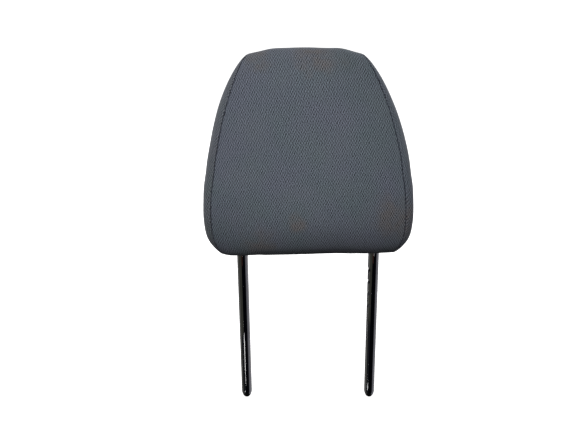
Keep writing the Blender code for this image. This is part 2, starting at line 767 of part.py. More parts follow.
def build_cover(material, parent) -> None:
    """Add the cover's three panels, with the holes for the sleeves and the closure's slot."""
    panel = add_object("cover_centre_panel", centre_panel_mesh(), material, parent)
    for x in (-POST_X, POST_X):
        cut(panel, sleeve_hole_mesh(x))
    cut(panel, closure_room_mesh(UNDERSIDE + CLOTH_THICKNESS + OVERCUT))
    add_object("cover_side_left", side_panel_mesh(-1), material, parent)
    add_object("cover_side_right", side_panel_mesh(1), material, parent)


def build_underside(strip_material, grommet_material, parent) -> None:
    """Add the closure's two strips and the two grommets."""
    front = strip_mesh("closure_strip_front", front_strip_outline())
    rear = strip_mesh("closure_strip_rear", rear_strip_outline())
    add_object("closure_strip_front", front, strip_material, parent)
    add_object("closure_strip_rear", rear, strip_material, parent)
    mesh = grommet_mesh()
    add_object("grommet_left", mesh, grommet_material, parent, (-POST_X, 0.0, 0.0))
    add_object("grommet_right", mesh, grommet_material, parent, (POST_X, 0.0, 0.0))


def main() -> None:
    """Build the whole headrest under one empty at the origin."""
    clear_scene()
    root = bpy.data.objects.new("headrest", None)
    bpy.context.scene.collection.objects.link(root)
    chrome = make_material("chromed_steel", (0.62, 0.62, 0.63), 0.06, 1.0)
    zinc = make_material("zinc_plated_steel", (0.55, 0.55, 0.52), 0.35, 1.0)
    core_plastic = make_material("core_plastic", (0.035, 0.035, 0.037), 0.55)
    foam = make_material("foam", (0.62, 0.57, 0.44), 0.95)
    cloth = make_material("cover_cloth", (0.10, 0.11, 0.135), 0.92)
    strip_plastic = make_material("strip_plastic", (0.04, 0.04, 0.045), 0.5)
    grommet_plastic = make_material("grommet_plastic", (0.012, 0.012, 0.013), 0.45)
    build_frame(chrome, root)
    build_core(core_plastic, zinc, root)
    build_foam(foam, root)
    build_cover(cloth, root)
    build_underside(strip_plastic, grommet_plastic, root)
    bpy.context.view_layer.update()


main()
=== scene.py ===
"""Looks of a car headrest: a foam cushion in a sewn cloth cover on two chromed posts.

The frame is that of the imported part, in metres: the origin lies midway between the posts' axes in
the plane of the grommets' stop faces, +Z points up and -Y points out of the cushion's face.
"""

from __future__ import annotations

import logging
import math
import sys
from collections.abc import Sequence
from dataclasses import dataclass, field
from enum import Enum

import bpy
import numpy as np
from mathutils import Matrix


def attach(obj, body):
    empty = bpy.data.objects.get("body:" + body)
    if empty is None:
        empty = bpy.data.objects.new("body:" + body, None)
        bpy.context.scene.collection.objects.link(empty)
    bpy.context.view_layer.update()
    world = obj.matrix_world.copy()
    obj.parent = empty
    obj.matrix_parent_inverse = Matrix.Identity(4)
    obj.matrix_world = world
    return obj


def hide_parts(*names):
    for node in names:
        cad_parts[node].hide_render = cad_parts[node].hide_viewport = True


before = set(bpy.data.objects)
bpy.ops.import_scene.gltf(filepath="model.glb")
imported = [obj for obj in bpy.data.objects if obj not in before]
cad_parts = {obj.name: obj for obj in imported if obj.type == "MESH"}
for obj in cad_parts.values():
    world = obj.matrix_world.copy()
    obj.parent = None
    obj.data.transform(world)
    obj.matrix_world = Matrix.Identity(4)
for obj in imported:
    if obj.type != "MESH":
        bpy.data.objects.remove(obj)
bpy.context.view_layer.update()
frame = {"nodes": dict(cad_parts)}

BODY = "root"
LOG = logging.getLogger("headrest")

Array = np.ndarray
Socket = bpy.types.NodeSocket
Colour = tuple[float, float, float]
Numbers = tuple[float, ...]
Pairs = tuple[tuple[float, float], ...]
Triples = tuple[tuple[float, float, float], ...]

# How far each post's axis stands from the middle, a length that counts as nothing, both in metres,
# the least length that anything is divided by, and the light of the studio's darkest cards.
POST_X = 0.073
TINY = 1e-6
GUARD = 1e-12
DARK: Colour = (0.0012, 0.0014, 0.0024)


class Side(Enum):
    """A side of the headrest, as someone who looks at its face sees it."""

    LEFT = -1
    RIGHT = 1


class Blend(Enum):
    """How a Mix node joins two colours."""

    MIX = "MIX"
    MULTIPLY = "MULTIPLY"


class Ray(Enum):
    """A kind of ray that a stage piece may be hidden from."""

    CAMERA = "visible_camera"
    DIFFUSE = "visible_diffuse"
    GLOSSY = "visible_glossy"
    SHADOW = "visible_shadow"


def smooth_step(values: Array, low: float, high: float) -> Array:
    """Return 0 below low, 1 above high, and 3t^2 - 2t^3 between them.

    Args:
        values: The numbers to read the step at.
        low: Where the step starts.
        high: Where the step ends.

    Returns:
        The step's values, in the shape of the given numbers.
    """
    t = np.clip((values - low) / (high - low), 0.0, 1.0)
    return t * t * (3.0 - 2.0 * t)


def curve_through(stops: Array, values: Array, at: Array) -> Array:
    """Return a cubic curve through given points that never overshoots them.

    Each stretch is a Hermite cubic. The slope at an inner point is the harmonic mean of the slopes
    of the two chords that meet there, or zero where they turn.

    Args:
        stops: The points' places, rising.
        values: The points' values.
        at: The places to read the curve at.

    Returns:
        The curve's values, in the shape of at.
    """
    steps = np.diff(stops)
    chords = np.diff(values) / steps
    before, after = chords[:-1], chords[1:]
    same_way = before * after > 0
    inner = np.where(same_way, 2 * before * after / np.where(same_way, before + after, 1.0), 0.0)
    slopes = np.concatenate([chords[:1], inner, chords[-1:]])
    piece = np.clip(np.searchsorted(stops, at) - 1, 0, len(steps) - 1)
    t = np.clip((at - stops[piece]) / steps[piece], 0.0, 1.0)
    return (
        (2 * t**3 - 3 * t**2 + 1) * values[piece]
        + (t**3 - 2 * t**2 + t) * steps[piece] * slopes[piece]
        + (3 * t**2 - 2 * t**3) * values[piece + 1]
        + (t**3 - t**2) * steps[piece] * slopes[piece + 1]
    )


def unit(vectors: Array) -> Array:
    """Return vectors scaled to length 1, along the last axis."""
    return vectors / np.maximum(np.linalg.norm(vectors, axis=-1, keepdims=True), GUARD)


def closed_travel(line: Array) -> tuple[Array, Array]:
    """Close a line, and measure the way along it.

    Args:
        line: The line's points, whose last one isn't its first.

    Returns:
        The points with the first one again at the end, and each one's distance along the line.
    """
    closed = np.concatenate([line, line[:1]])
    steps = np.linalg.norm(np.diff(closed, axis=0), axis=1)
    return closed, np.concatenate([[0.0], np.cumsum(steps)])


def read_along(travel: Array, points: Array, at: Array) -> Array:
    """Read a line at distances along it, straight between its points.

    Args:
        travel: Each point's distance along the line.
        points: The line's points, or a vector at each of them.
        at: The distances to read it at.

    Returns:
        The points or vectors there, with their axes last.
    """
    return np.stack([np.interp(at, travel, column) for column in points.T], axis=-1)


def grid_quads(rings: int, around: int, looped: bool = False) -> Array:
    """Return the quads between neighbouring rings of points.

    Args:
        rings: How many rings there are.
        around: How many points a ring has.
        looped: Whether the last ring joins the first.

    Returns:
        The corners' point numbers, as (ring, point in the ring, corner).
    """
    ring = np.arange(rings if looped else rings - 1)[:, None]
    point = np.arange(around)[None, :]
    after, above = (point + 1) % around, (ring + 1) % rings
    corners = ((ring, point), (ring, after), (above, after), (above, point))
    return np.stack([row * around + place for row, place in corners], axis=-1)


def tube_rings(line: Array, first: Array, second: Array, radius: float, sides: int) -> Array:
    """Return the rings of a round tube: line + r (cos t * first + sin t * second).

    Args:
        line: Points of its centre line, with their axes last.
        first: Unit directions across the line.
        second: Unit directions across the line and the first ones.
        radius: The tube's radius.
        sides: How many points a ring has.

    Returns:
        Points, with the point in the ring and the axis last.
    """
    turn = np.linspace(0.0, 2 * math.pi, sides, endpoint=False)[:, None]
    ring = np.cos(turn) * first[..., None, :] + np.sin(turn) * second[..., None, :]
    return line[..., None, :] + ring * radius


def add_object(name: str, data: bpy.types.ID) -> bpy.types.Object:
    """Make an object at the origin.

    Args:
        name: Its name.
        data: Its mesh, light or camera.

    Returns:
        The object, linked into the scene.
    """
    item = bpy.data.objects.new(name, data)
    bpy.context.scene.collection.objects.link(item)
    return item


def add_mesh(name: str, points: Array, faces: list[list[int]]) -> bpy.types.Object:
    """Make a smooth-shaded mesh object at the origin.

    Args:
        name: The object's and the mesh's name.
        points: Its points.
        faces: Each face's point numbers.

    Returns:
        The object, linked into the scene.
    """
    mesh = bpy.data.meshes.new(name)
    mesh.from_pydata(points.tolist(), [], faces)
    mesh.shade_smooth()
    return add_object(name, mesh)


def add_strip(name: str, first: Array, second: Array) -> bpy.types.Object:
    """Make a strip of quads between two rows with as many points.

    Args:
        name: The object's and the mesh's name.
        first: The first row's points.
        second: The second row's points.

    Returns:
        The object, linked into the scene.
    """
    count = len(first)
    start = np.arange(count - 1)
    faces = np.stack([start, start + 1, start + count + 1, start + count], axis=1)
    return add_mesh(name, np.concatenate([first, second]), faces.tolist())


@dataclass
class RingSurface:
    """A surface of stacked rings, each a closed run of points, with a pole at either end if wanted.

    Attributes:
        rings: Points, as (ring, point in the ring, axis).
        first_pole: The point that closes the surface before its first ring.
        last_pole: The point that closes it after its last ring.
        flat: Weave coordinates in metres, as (ring, point in the ring and one more, axis).
        shade: How much painted seam shade each ring gets, from 0 to 1, more the deeper it lies.
        left_out: Quads to leave out, as (ring, point in the ring).
        looped: Whether the last ring joins the first.
    """

    rings: Array
    first_pole: Array | None = None
    last_pole: Array | None = None
    flat: Array | None = None
    shade: Array | None = None
    left_out: Array | None = None
    looped: bool = False

    def quads(self) -> tuple[Array, Array | None]:
        """Return the quads between neighbouring rings.

        Returns:
            The corners' point numbers, and the corners' weave coordinates or None.
        """
        count, around = self.rings.shape[:2]
        corners = grid_quads(count, around, self.looped)
        flat = None
        if self.flat is not None:
            low, high = self.flat[:-1], self.flat[1:]
            flat = np.stack([low[:, :-1], low[:, 1:], high[:, 1:], high[:, :-1]], axis=2)
        if self.left_out is not None:
            kept = ~self.left_out
            return corners[kept], None if flat is None else flat[kept]
        return corners.reshape(-1, 4), None if flat is None else flat.reshape(-1, 4, 2)

    def fan(self, ring: int, pole: int) -> tuple[Array, Array | None]:
        """Return the triangles between a ring and a pole.

        Args:
            ring: The number of the ring that the fan starts from.
            pole: The number of the pole's point.

        Returns:
            The corners' point numbers, and the corners' weave coordinates or None.
        """
        around = self.rings.shape[1]
        point = np.arange(around)
        after = (point + 1) % around
        corners = np.stack([ring * around + point, ring * around + after, np.full(around, pole)], 1)
        if ring == 0:
            corners = corners[:, [1, 0, 2]]
        if self.flat is None:
            return corners, None
        row = self.flat[ring]
        middle = np.repeat(row[:-1].mean(axis=0)[None], around, axis=0)
        flat = np.stack([row[:-1], row[1:], middle], axis=1)
        return corners, flat[:, [1, 0, 2]] if ring == 0 else flat

    def build(self, name: str) -> bpy.types.Object:
        """Make the surface a smooth-shaded object at the origin, with its faces outwards.

        Args:
            name: The object's and the mesh's name.

        Returns:
            The new object, linked into the scene.
        """
        points = self.rings.reshape(-1, 3)
        parts = [self.quads()]
        last = len(self.rings) - 1
        for pole, ring in ((self.first_pole, 0), (self.last_pole, last)):
            if pole is not None:
                parts.append(self.fan(ring, len(points)))
                points = np.concatenate([points, np.asarray(pole, float)[None]])
        triangles = np.concatenate([corners[:, [0, 1, 2]] for corners, _ in parts])
        middle = points.mean(axis=0)
        a, b, c = (points[triangles[:, corner]] - middle for corner in range(3))
        turn = 1 if np.sum(a * np.cross(b, c)) > 0 else -1
        faces = [face for corners, _ in parts for face in corners[:, ::turn].tolist()]
        item = add_mesh(name, points, faces)
        mesh = item.data
        if self.flat is not None:
            layer = mesh.uv_layers.new(name="weave")
            places = [flat[:, ::turn].reshape(-1, 2) for _, flat in parts]
            layer.data.foreach_set("uv", np.concatenate(places).astype(np.float32).ravel())
        # The seam attribute carries each ring's share of painted seam shade.
        if self.shade is not None:
            shade = np.repeat(self.shade, self.rings.shape[1])
            values = np.zeros(len(points), np.float32)
            values[: len(shade)] = shade
            mesh.attributes.new("seam", "FLOAT", "POINT").data.foreach_set("value", values)
        mesh.update()
        return item


def add_subdivision(item: bpy.types.Object, levels: int = 1) -> None:
    """Round a piece with a Subdivision Surface, at the same level in view and render.

    Args:
        item: The piece.
        levels: How many times each face is divided.
    """
    modifier = item.modifiers.new("rounding", "SUBSURF")
    modifier.levels = modifier.render_levels = levels


def turned_rings(profile: Array, centre: tuple[float, float], sides: int) -> Array:
    """Return the rings of a shape turned about an upright axis.

    A point is (centre x + r cos a, centre y + r sin a, z), for each (r, z) of the profile and each
    of the equal angles a.

    Args:
        profile: Points of the section, as (radius, height).
        centre: The axis's X and Y.
        sides: How many points a ring has.

    Returns:
        Points, as (profile point, side, axis).
    """
    angle = np.linspace(0.0, 2 * math.pi, sides, endpoint=False)
    radius, height = profile[:, :1], profile[:, 1:]
    x = centre[0] + radius * np.cos(angle)
    y = centre[1] + radius * np.sin(angle)
    return np.stack([x, y, np.broadcast_to(height, x.shape)], axis=-1)


def rounded_profile(corners: Array, radii: Array, steps: int = 5) -> Array:
    """Return a closed section whose corners are rounded by quadratic curves.

    At each corner P with neighbours A and B, the curve runs from P + r(A - P)/|A - P| to
    P + r(B - P)/|B - P| as (1 - t)^2 start + 2t(1 - t) P + t^2 end.

    Args:
        corners: The section's corners, as (radius, height).
        radii: How far from each corner its curve starts.
        steps: How many stretches a curve has.

    Returns:
        The section's points, in order.
    """
    before, after = np.roll(corners, 1, axis=0), np.roll(corners, -1, axis=0)
    start = corners + unit(before - corners) * radii[:, None]
    end = corners + unit(after - corners) * radii[:, None]
    t = np.linspace(0.0, 1.0, steps + 1)[None, :, None]
    curve = (1 - t) ** 2 * start[:, None] + 2 * t * (1 - t) * corners[:, None] + t**2 * end[:, None]
    return curve.reshape(-1, 2)


class NodeGraph:
    """A node tree that is being filled in."""

    def __init__(self, tree: bpy.types.NodeTree) -> None:
        """Keep the tree that the nodes go into."""
        self.tree = tree

    def add(self, kind: str, **settings: object) -> bpy.types.Node:
        """Add a node.

        Args:
            kind: The node's type, without its leading "ShaderNode".
            settings: Values for the node's own properties.

        Returns:
            The new node.
        """
        node = self.tree.nodes.new(f"ShaderNode{kind}")
        for key, value in settings.items():
            setattr(node, key, value)
        return node

    def feed(self, socket: Socket, value: object) -> None:
        """Link an input to another socket, or set it to a plain value.

        Args:
            socket: The input.
            value: The socket to link, a number, a vector, or a colour of three parts.
        """
        if isinstance(value, bpy.types.NodeSocket):
            self.tree.links.new(value, socket)
        elif isinstance(value, tuple) and socket.type == "RGBA" and len(value) == 3:
            socket.default_value = (*value, 1.0)
        else:
            socket.default_value = value

    def fill(self, node: bpy.types.Node, values: dict[str, object] | dict[int, object]) -> None:
        """Feed several inputs of a node, each by its name or number."""
        for key, value in values.items():
            self.feed(node.inputs[key], value)

    def math(self, operation: str, *values: object, clamp: bool = False) -> Socket:
        """Work out a number.

        Args:
            operation: The Math node's operation.
            values: Its inputs.
            clamp: Whether the result is held between 0 and 1.

        Returns:
            The result.
        """
        node = self.add("Math", operation=operation, use_clamp=clamp)
        self.fill(node, dict(enumerate(values)))
        return node.outputs[0]

    def vector(self, operation: str, *values: object) -> Socket:
        """Work out a vector, or its length or dot product.

        Args:
            operation: The Vector Math node's operation.
            values: Its inputs.

        Returns:
            The result.
        """
        node = self.add("VectorMath", operation=operation)
        self.fill(node, dict(enumerate(values)))
        return node.outputs["Value" if operation in ("DOT_PRODUCT", "LENGTH") else "Vector"]

    def scaled(self, vector: Socket, factor: object) -> Socket:
        """Multiply a vector by a number.

        Args:
            vector: The vector.
            factor: The number.

        Returns:
            The result.
        """
        node = self.add("VectorMath", operation="SCALE")
        self.fill(node, {"Vector": vector, "Scale": factor})
        return node.outputs["Vector"]

    def noise(
        self, vector: Socket, scale: object, detail: float = 2.0, rough: float = 0.5
    ) -> Socket:
        """Read a Noise node.

        Args:
            vector: The place to read it at.
            scale: Its features for each unit of the place.
            detail: How many finer layers it has.
            rough: How strong they are.

        Returns:
            The noise, about 0.5 on average.
        """
        node = self.add("TexNoise")
        self.fill(node, {"Vector": vector, "Scale": scale, "Detail": detail, "Roughness": rough})
        return node.outputs[0]

    def cells(self, vector: Socket, scale: object, feature: str = "F1") -> Socket:
        """Read a Voronoi node.

        Args:
            vector: The place to read it at.
            scale: Its cells for each unit of the place.
            feature: What it measures.

        Returns:
            The distance to the cell's point.
        """
        node = self.add("TexVoronoi", feature=feature)
        self.fill(node, {"Vector": vector, "Scale": scale})
        return node.outputs["Distance"]

    def fit(self, value: Socket, low: float, high: float, to_low: float, to_high: float) -> Socket:
        """Move a value from one range to another, and hold it at its ends.

        Args:
            value: The value.
            low: Where the first range starts.
            high: Where it ends.
            to_low: Where the second range starts.
            to_high: Where it ends.

        Returns:
            The moved value.
        """
        node = self.add("MapRange")
        self.fill(node, dict(enumerate((value, low, high, to_low, to_high))))
        return node.outputs[0]

    def mix(self, share: object, first: object, second: object, blend: Blend = Blend.MIX) -> Socket:
        """Join two colours.

        Args:
            share: The second colour's share.
            first: The first colour.
            second: The second colour.
            blend: How they are joined.

        Returns:
            The joined colour.
        """
        node = self.add("Mix", data_type="RGBA", blend_type=blend.value)
        self.fill(node, {0: share, 6: first, 7: second})
        return node.outputs[2]

    def object_place(self) -> Socket:
        """Return the Object coordinates, which are metres in the part's frame."""
        return self.add("TexCoord").outputs["Object"]

    def weave_place(self) -> Socket:
        """Return the piece's own weave coordinates, in metres along the cloth."""
        return self.add("UVMap", uv_map="weave").outputs[0]

    def bump(self, height: Socket, depth: float, strength: float = 1.0) -> Socket:
        """Bend the normal by a height.

        Args:
            height: The height, from 0 to 1.
            depth: What 1 stands for, in metres.
            strength: How strongly the normal follows it.

        Returns:
            The bent normal.
        """
        node = self.add("Bump")
        self.fill(node, {"Strength": strength, "Distance": depth, "Height": height})
        return node.outputs[0]

    def group(self, tree: bpy.types.NodeTree, **values: object) -> bpy.types.Node:
        """Place a shader group.

        Args:
            tree: The group's tree.
            values: What its inputs get, by name.

        Returns:
            The group's node.
        """
        node = self.add("Group", node_tree=tree)
        self.fill(node, values)
        return node


def start_group(name: str, inputs: dict[str, float | None], outputs: tuple[str, ...]) -> tuple:
    """Start a shader group.

    Args:
        name: The group's name.
        inputs: Input names, with a number for a value and None for a vector.
        outputs: The names of its values.

    Returns:
        The tree, its graph, and its input and output nodes.
    """
    tree = bpy.data.node_groups.new(name, "ShaderNodeTree")
    for key, value in inputs.items():
        kind = "NodeSocketVector" if value is None else "NodeSocketFloat"
        socket = tree.interface.new_socket(key, in_out="INPUT", socket_type=kind)
        if value is not None:
            socket.default_value = value
    for key in outputs:
        tree.interface.new_socket(key, in_out="OUTPUT", socket_type="NodeSocketFloat")
    graph = NodeGraph(tree)
    entry = tree.nodes.new("NodeGroupInput")
    leave = tree.nodes.new("NodeGroupOutput")
    return tree, graph, entry, leave


@dataclass(frozen=True)
class Wave:
    """One set of parallel ridges in the weave.

    Attributes:
        per_mm: Ridges for each millimetre across and up the cloth.
        share: The ridges' share of the whole relief.
    """

    per_mm: tuple[float, float]
    share: float


class Effects:
    """Shader groups that more than one finish uses."""

    def __init__(self) -> None:
        """Make each group once."""
        self.weave = self.make_weave()
        self.grain = self.make_grain()
        self.handling = self.make_handling()
        self.dust = self.make_dust()

    def make_weave(self) -> bpy.types.NodeTree:
        """Return the twill: crossing sets of ridges, broken up by uneven yarns and loose fibres.

        The relief is the sum of sines of (ridges per mm) . (place in mm), each times its share and
        a gain that drifts, plus yarn noise and finer fibre noise. Height is half of it plus 0.5.

        Returns:
            The group's tree.
        """
        tree, graph, entry, leave = start_group(
            "twill_weave", {"Vector": None, "Yarn": 1.7, "Fibre": 0.3}, ("Height", "Fleck")
        )
        place = graph.scaled(entry.outputs["Vector"], 1000.0)
        stray = graph.noise(place, 0.45, detail=1.0)
        waves = (
            Wave((0.372, -0.229), 0.30),
            Wave((0.387, -0.043), 0.10),
            Wave((0.473, -0.181), 0.28),
            Wave((0.372, 0.250), 0.30),
        )
        total: object = 0.0
        for number, wave in enumerate(waves):
            turn = tuple(2 * math.pi * value for value in wave.per_mm)
            angle = graph.vector("DOT_PRODUCT", place, (*turn, 0.0))
            angle = graph.math("MULTIPLY_ADD", stray, 2.0, angle)
            shifted = graph.vector("ADD", place, (17.0 * number + 5.0, 3.0, 0.0))
            gain = graph.fit(graph.noise(shifted, 0.22, detail=1.0), 0.32, 0.68, 0.4, 1.6)
            ridge = graph.math("MULTIPLY", graph.math("SINE", angle), wave.share)
            total = graph.math("MULTIPLY_ADD", ridge, gain, total)
        for key, scale in (("Yarn", 0.95), ("Fibre", 4.5)):
            speck = graph.math("SUBTRACT", graph.noise(place, scale, detail=1.0), 0.5)
            total = graph.math("MULTIPLY_ADD", speck, entry.outputs[key], total)
        graph.feed(leave.inputs["Height"], graph.math("MULTIPLY_ADD", total, 0.5, 0.5, clamp=True))
        graph.feed(leave.inputs["Fleck"], graph.fit(total, -0.85, 0.85, 0.0, 1.0))
        return tree

    def make_grain(self) -> bpy.types.NodeTree:
        """Return a moulded grain: rounded cells with a finer speckle on them.

        Returns:
            The group's tree.
        """
        tree, graph, entry, leave = start_group(
            "moulded_grain", {"Vector": None, "Scale": 900.0}, ("Height", "Speckle")
        )
        cells = graph.cells(entry.outputs["Vector"], entry.outputs["Scale"], "SMOOTH_F1")
        fine = graph.math("MULTIPLY", entry.outputs["Scale"], 3.0)
        speckle = graph.noise(entry.outputs["Vector"], fine, detail=3.0)
        height = graph.math("MULTIPLY_ADD", speckle, 0.35, cells)
        graph.feed(leave.inputs["Height"], height)
        graph.feed(leave.inputs["Speckle"], speckle)
        return tree

    def make_handling(self) -> bpy.types.NodeTree:
        """Return marks of use: broad smudges, and fine scratches along the axis of a post.

        Returns:
            The group's tree.
        """
        tree, graph, entry, leave = start_group(
            "handling_marks", {"Vector": None, "Scale": 40.0}, ("Smudge", "Scratch")
        )
        place, scale = entry.outputs["Vector"], entry.outputs["Scale"]
        smudge = graph.noise(place, scale, detail=4.0, rough=0.6)
        drawn = graph.vector("MULTIPLY", place, (60.0, 60.0, 1.2))
        scratch = graph.noise(drawn, scale, detail=3.0, rough=0.7)
        graph.feed(leave.inputs["Smudge"], graph.fit(smudge, 0.35, 0.75, 0.0, 1.0))
        graph.feed(leave.inputs["Scratch"], graph.fit(scratch, 0.55, 0.8, 0.0, 1.0))
        return tree

    def make_dust(self) -> bpy.types.NodeTree:
        """Return a mask of settled dust: patches broken up by fine specks.

        Returns:
            The group's tree.
        """
        tree, graph, entry, leave = start_group(
            "settled_dust", {"Vector": None, "Amount": 0.1}, ("Mask",)
        )
        patches = graph.noise(entry.outputs["Vector"], 28.0, detail=3.0)
        specks = graph.noise(entry.outputs["Vector"], 2600.0, detail=1.0)
        mask = graph.math("MULTIPLY", graph.fit(patches, 0.4, 0.75, 0.2, 1.0), specks)
        graph.feed(leave.inputs["Mask"], graph.math("MULTIPLY", mask, entry.outputs["Amount"]))
        return tree


class Finish:
    """A material of the headrest, which each kind of finish fills in."""

    name: str

    def start(self) -> tuple[bpy.types.Material, NodeGraph, bpy.types.Node]:
        """Return a new material with its graph and its Principled shader.

        Returns:
            The material, its graph and its shader.
        """
        material = bpy.data.materials.new(self.name)
        material.use_nodes = True
        shader = material.node_tree.nodes["Principled BSDF"]
        return material, NodeGraph(material.node_tree), shader

    def make(self, effects: Effects) -> bpy.types.Material:
        """Return the finished material; each finish has its own."""
        raise NotImplementedError


@dataclass(frozen=True)
class Cloth(Finish):
    """Woven cover cloth.

    Attributes:
        name: The material's name.
        colour: The cloth's mean colour, linear.
        cool: The tint of its cooler patches, linear.
        warm: The tint of its warmer patches, linear.
        painted_seam_shade: The painted shade that darkens its seams, linear.
        contrast: How far yarns differ from the gaps between them.
        relief: The weave's depth, in metres.
        dust: How much dust lies on it.
        specular: How strongly it shines, as an IOR level.
        sheen: How strong its soft sheen is.
        touched: Where hands touch it, as (x, y, z, radius).
    """

    name: str
    colour: Colour
    cool: Colour
    warm: Colour
    painted_seam_shade: Colour = (0.006, 0.007, 0.016)
    contrast: float = 0.83
    relief: float = 0.00035
    dust: float = 0.10
    specular: float = 0.22
    sheen: float = 0.22
    touched: tuple[tuple[float, float, float, float], ...] = (
        (0.088, -0.040, 0.048, 0.028),
        (-0.012, -0.047, 0.042, 0.012),
        (-0.050, -0.042, 0.018, 0.022),
        (0.010, -0.022, 0.212, 0.030),
        (-0.052, -0.010, 0.208, 0.024),
    )

    def make(self, effects: Effects) -> bpy.types.Material:
        """Return the cloth: twill flecks over slow drifts of tint, soft sheen, painted seam shade.

        Args:
            effects: The shared shader groups.

        Returns:
            The material.
        """
        material, graph, shader = self.start()
        place = graph.object_place()
        weave = graph.group(effects.weave, Vector=graph.weave_place())
        drift = graph.fit(graph.noise(place, 22.0, detail=2.0), 0.35, 0.65, 0.0, 1.0)
        tint = graph.mix(drift, self.cool, self.warm)
        base = graph.mix(self.touched_share(graph, place), tint, self.worn_tint())
        low, high = 1.0 - self.contrast, 1.0 + self.contrast
        fleck = graph.fit(weave.outputs["Fleck"], 0.0, 1.0, low, high)
        shade = graph.add("CombineColor")
        for socket in shade.inputs:
            graph.feed(socket, fleck)
        base = graph.mix(1.0, base, shade.outputs[0], Blend.MULTIPLY)
        dust = graph.group(effects.dust, Vector=place, Amount=self.dust)
        base = graph.mix(dust.outputs["Mask"], base, (0.30, 0.29, 0.27))
        # Painted shade: the seam attribute darkens the cloth towards a near-black blue down in the
        # seams.
        seam = graph.add("Attribute", attribute_name="seam").outputs["Fac"]
        base = graph.mix(graph.math("MULTIPLY", seam, 0.9), base, self.painted_seam_shade)
        values = {
            "Base Color": base,
            "Roughness": graph.fit(weave.outputs["Height"], 0.0, 1.0, 0.98, 0.84),
            "Specular IOR Level": self.specular,
            "Sheen Weight": self.sheen,
            "Sheen Roughness": 0.45,
            "Sheen Tint": (0.93, 0.94, 1.0),
            "Normal": graph.bump(weave.outputs["Height"], self.relief, 0.6),
        }
        graph.fill(shader, values)
        return material

    def touched_share(self, graph: NodeGraph, place: Socket) -> Socket:
        """Return the share of the worn tint: 1 at the touched places, and 0 about a radius away.

        Args:
            graph: The material's graph.
            place: The Object coordinates.

        Returns:
            The share.
        """
        total: object = 0.0
        stray = graph.math("SUBTRACT", graph.noise(place, 55.0, detail=2.0), 0.5)
        for x, y, z, radius in self.touched:
            away = graph.vector("LENGTH", graph.vector("SUBTRACT", place, (x, y, z)))
            away = graph.math("MULTIPLY_ADD", stray, radius * 1.8, away)
            total = graph.math("MAXIMUM", graph.fit(away, radius * 0.3, radius, 1.0, 0.0), total)
        ragged = graph.fit(graph.noise(place, 90.0, detail=3.0), 0.3, 0.6, 0.2, 1.0)
        return graph.math("MULTIPLY", total, ragged)

    def worn_tint(self) -> Colour:
        """Return the brownish tint that the cloth takes where hands touch it."""
        red, green, blue = self.colour
        return (red * 1.14, green * 0.97, blue * 0.84)


@dataclass(frozen=True)
class Chrome(Finish):
    """Polished chrome plate on the posts.

    Attributes:
        name: The material's name.
        colour: The plate's colour, linear.
        shadow: Its colour where it is smudged, linear.
        grease: The old grease's colour in the notches, linear.
        relief: The depth of its ripples, in metres.
    """

    name: str = "post_chrome"
    colour: Colour = (0.78, 0.78, 0.80)
    shadow: Colour = (0.62, 0.61, 0.62)
    grease: Colour = (0.030, 0.026, 0.020)
    relief: float = 0.00002

    def make(self, effects: Effects) -> bpy.types.Material:
        """Return the chrome: bright plate with faint smudges and drawn scratches.

        Args:
            effects: The shared shader groups.

        Returns:
            The material.
        """
        material, graph, shader = self.start()
        place = graph.object_place()
        marks = graph.group(effects.handling, Vector=place, Scale=55.0)
        grease = graph.add("Attribute", attribute_name="grease").outputs["Fac"]
        ragged = graph.fit(graph.noise(place, 1500.0, detail=2.0), 0.3, 0.6, 0.75, 1.0)
        grease = graph.math("MULTIPLY", grease, ragged)
        colour = graph.mix(marks.outputs["Smudge"], self.colour, self.shadow)
        rough = graph.fit(marks.outputs["Smudge"], 0.0, 1.0, 0.03, 0.08)
        rough = graph.math("MULTIPLY_ADD", marks.outputs["Scratch"], 0.03, rough)
        ripple = graph.noise(place, 130.0, detail=2.0)
        height = graph.math("MULTIPLY_ADD", marks.outputs["Scratch"], -0.15, ripple)
        values = {
            "Base Color": graph.mix(grease, colour, self.grease),
            "Metallic": 1.0,
            "Roughness": graph.math("MULTIPLY_ADD", grease, 0.35, rough),
            "Normal": graph.bump(height, self.relief, 0.25),
        }
        graph.fill(shader, values)
        return material


@dataclass(frozen=True)
class Plastic(Finish):
    """Moulded or extruded plastic.

    Attributes:
        name: The material's name.
        colour: The plastic's colour, linear.
        gloss_low: Roughness of its grain's tops.
        gloss_high: Roughness between them.
        grain: Cells for each metre.
        drawn: How much longer the grain is along X, for an extruded piece.
        relief: The grain's depth, in metres.
    """

    name: str
    colour: Colour
    gloss_low: float = 0.42
    gloss_high: float = 0.6
    grain: float = 1400.0
    drawn: float = 1.0
    relief: float = 0.00006

    def make(self, effects: Effects) -> bpy.types.Material:
        """Return the plastic: fine grain, rubbed paler where it is handled.

        Args:
            effects: The shared shader groups.

        Returns:
            The material.
        """
        material, graph, shader = self.start()
        place = graph.object_place()
        stretched = graph.vector("MULTIPLY", place, (1.0 / self.drawn, 1.0, 1.0))
        grain = graph.group(effects.grain, Vector=stretched, Scale=self.grain)
        marks = graph.group(effects.handling, Vector=place, Scale=70.0)
        pale = tuple(min(1.0, value * 1.9 + 0.012) for value in self.colour)
        worn = graph.math("MULTIPLY", marks.outputs["Smudge"], 0.45)
        colour = graph.mix(worn, self.colour, pale)
        dust = graph.group(effects.dust, Vector=place, Amount=0.16)
        rough = graph.fit(grain.outputs["Speckle"], 0.3, 0.7, self.gloss_low, self.gloss_high)
        values = {
            "Base Color": graph.mix(dust.outputs["Mask"], colour, (0.25, 0.24, 0.22)),
            "Roughness": rough,
            "Normal": graph.bump(grain.outputs["Height"], self.relief, 0.5),
        }
        graph.fill(shader, values)
        return material


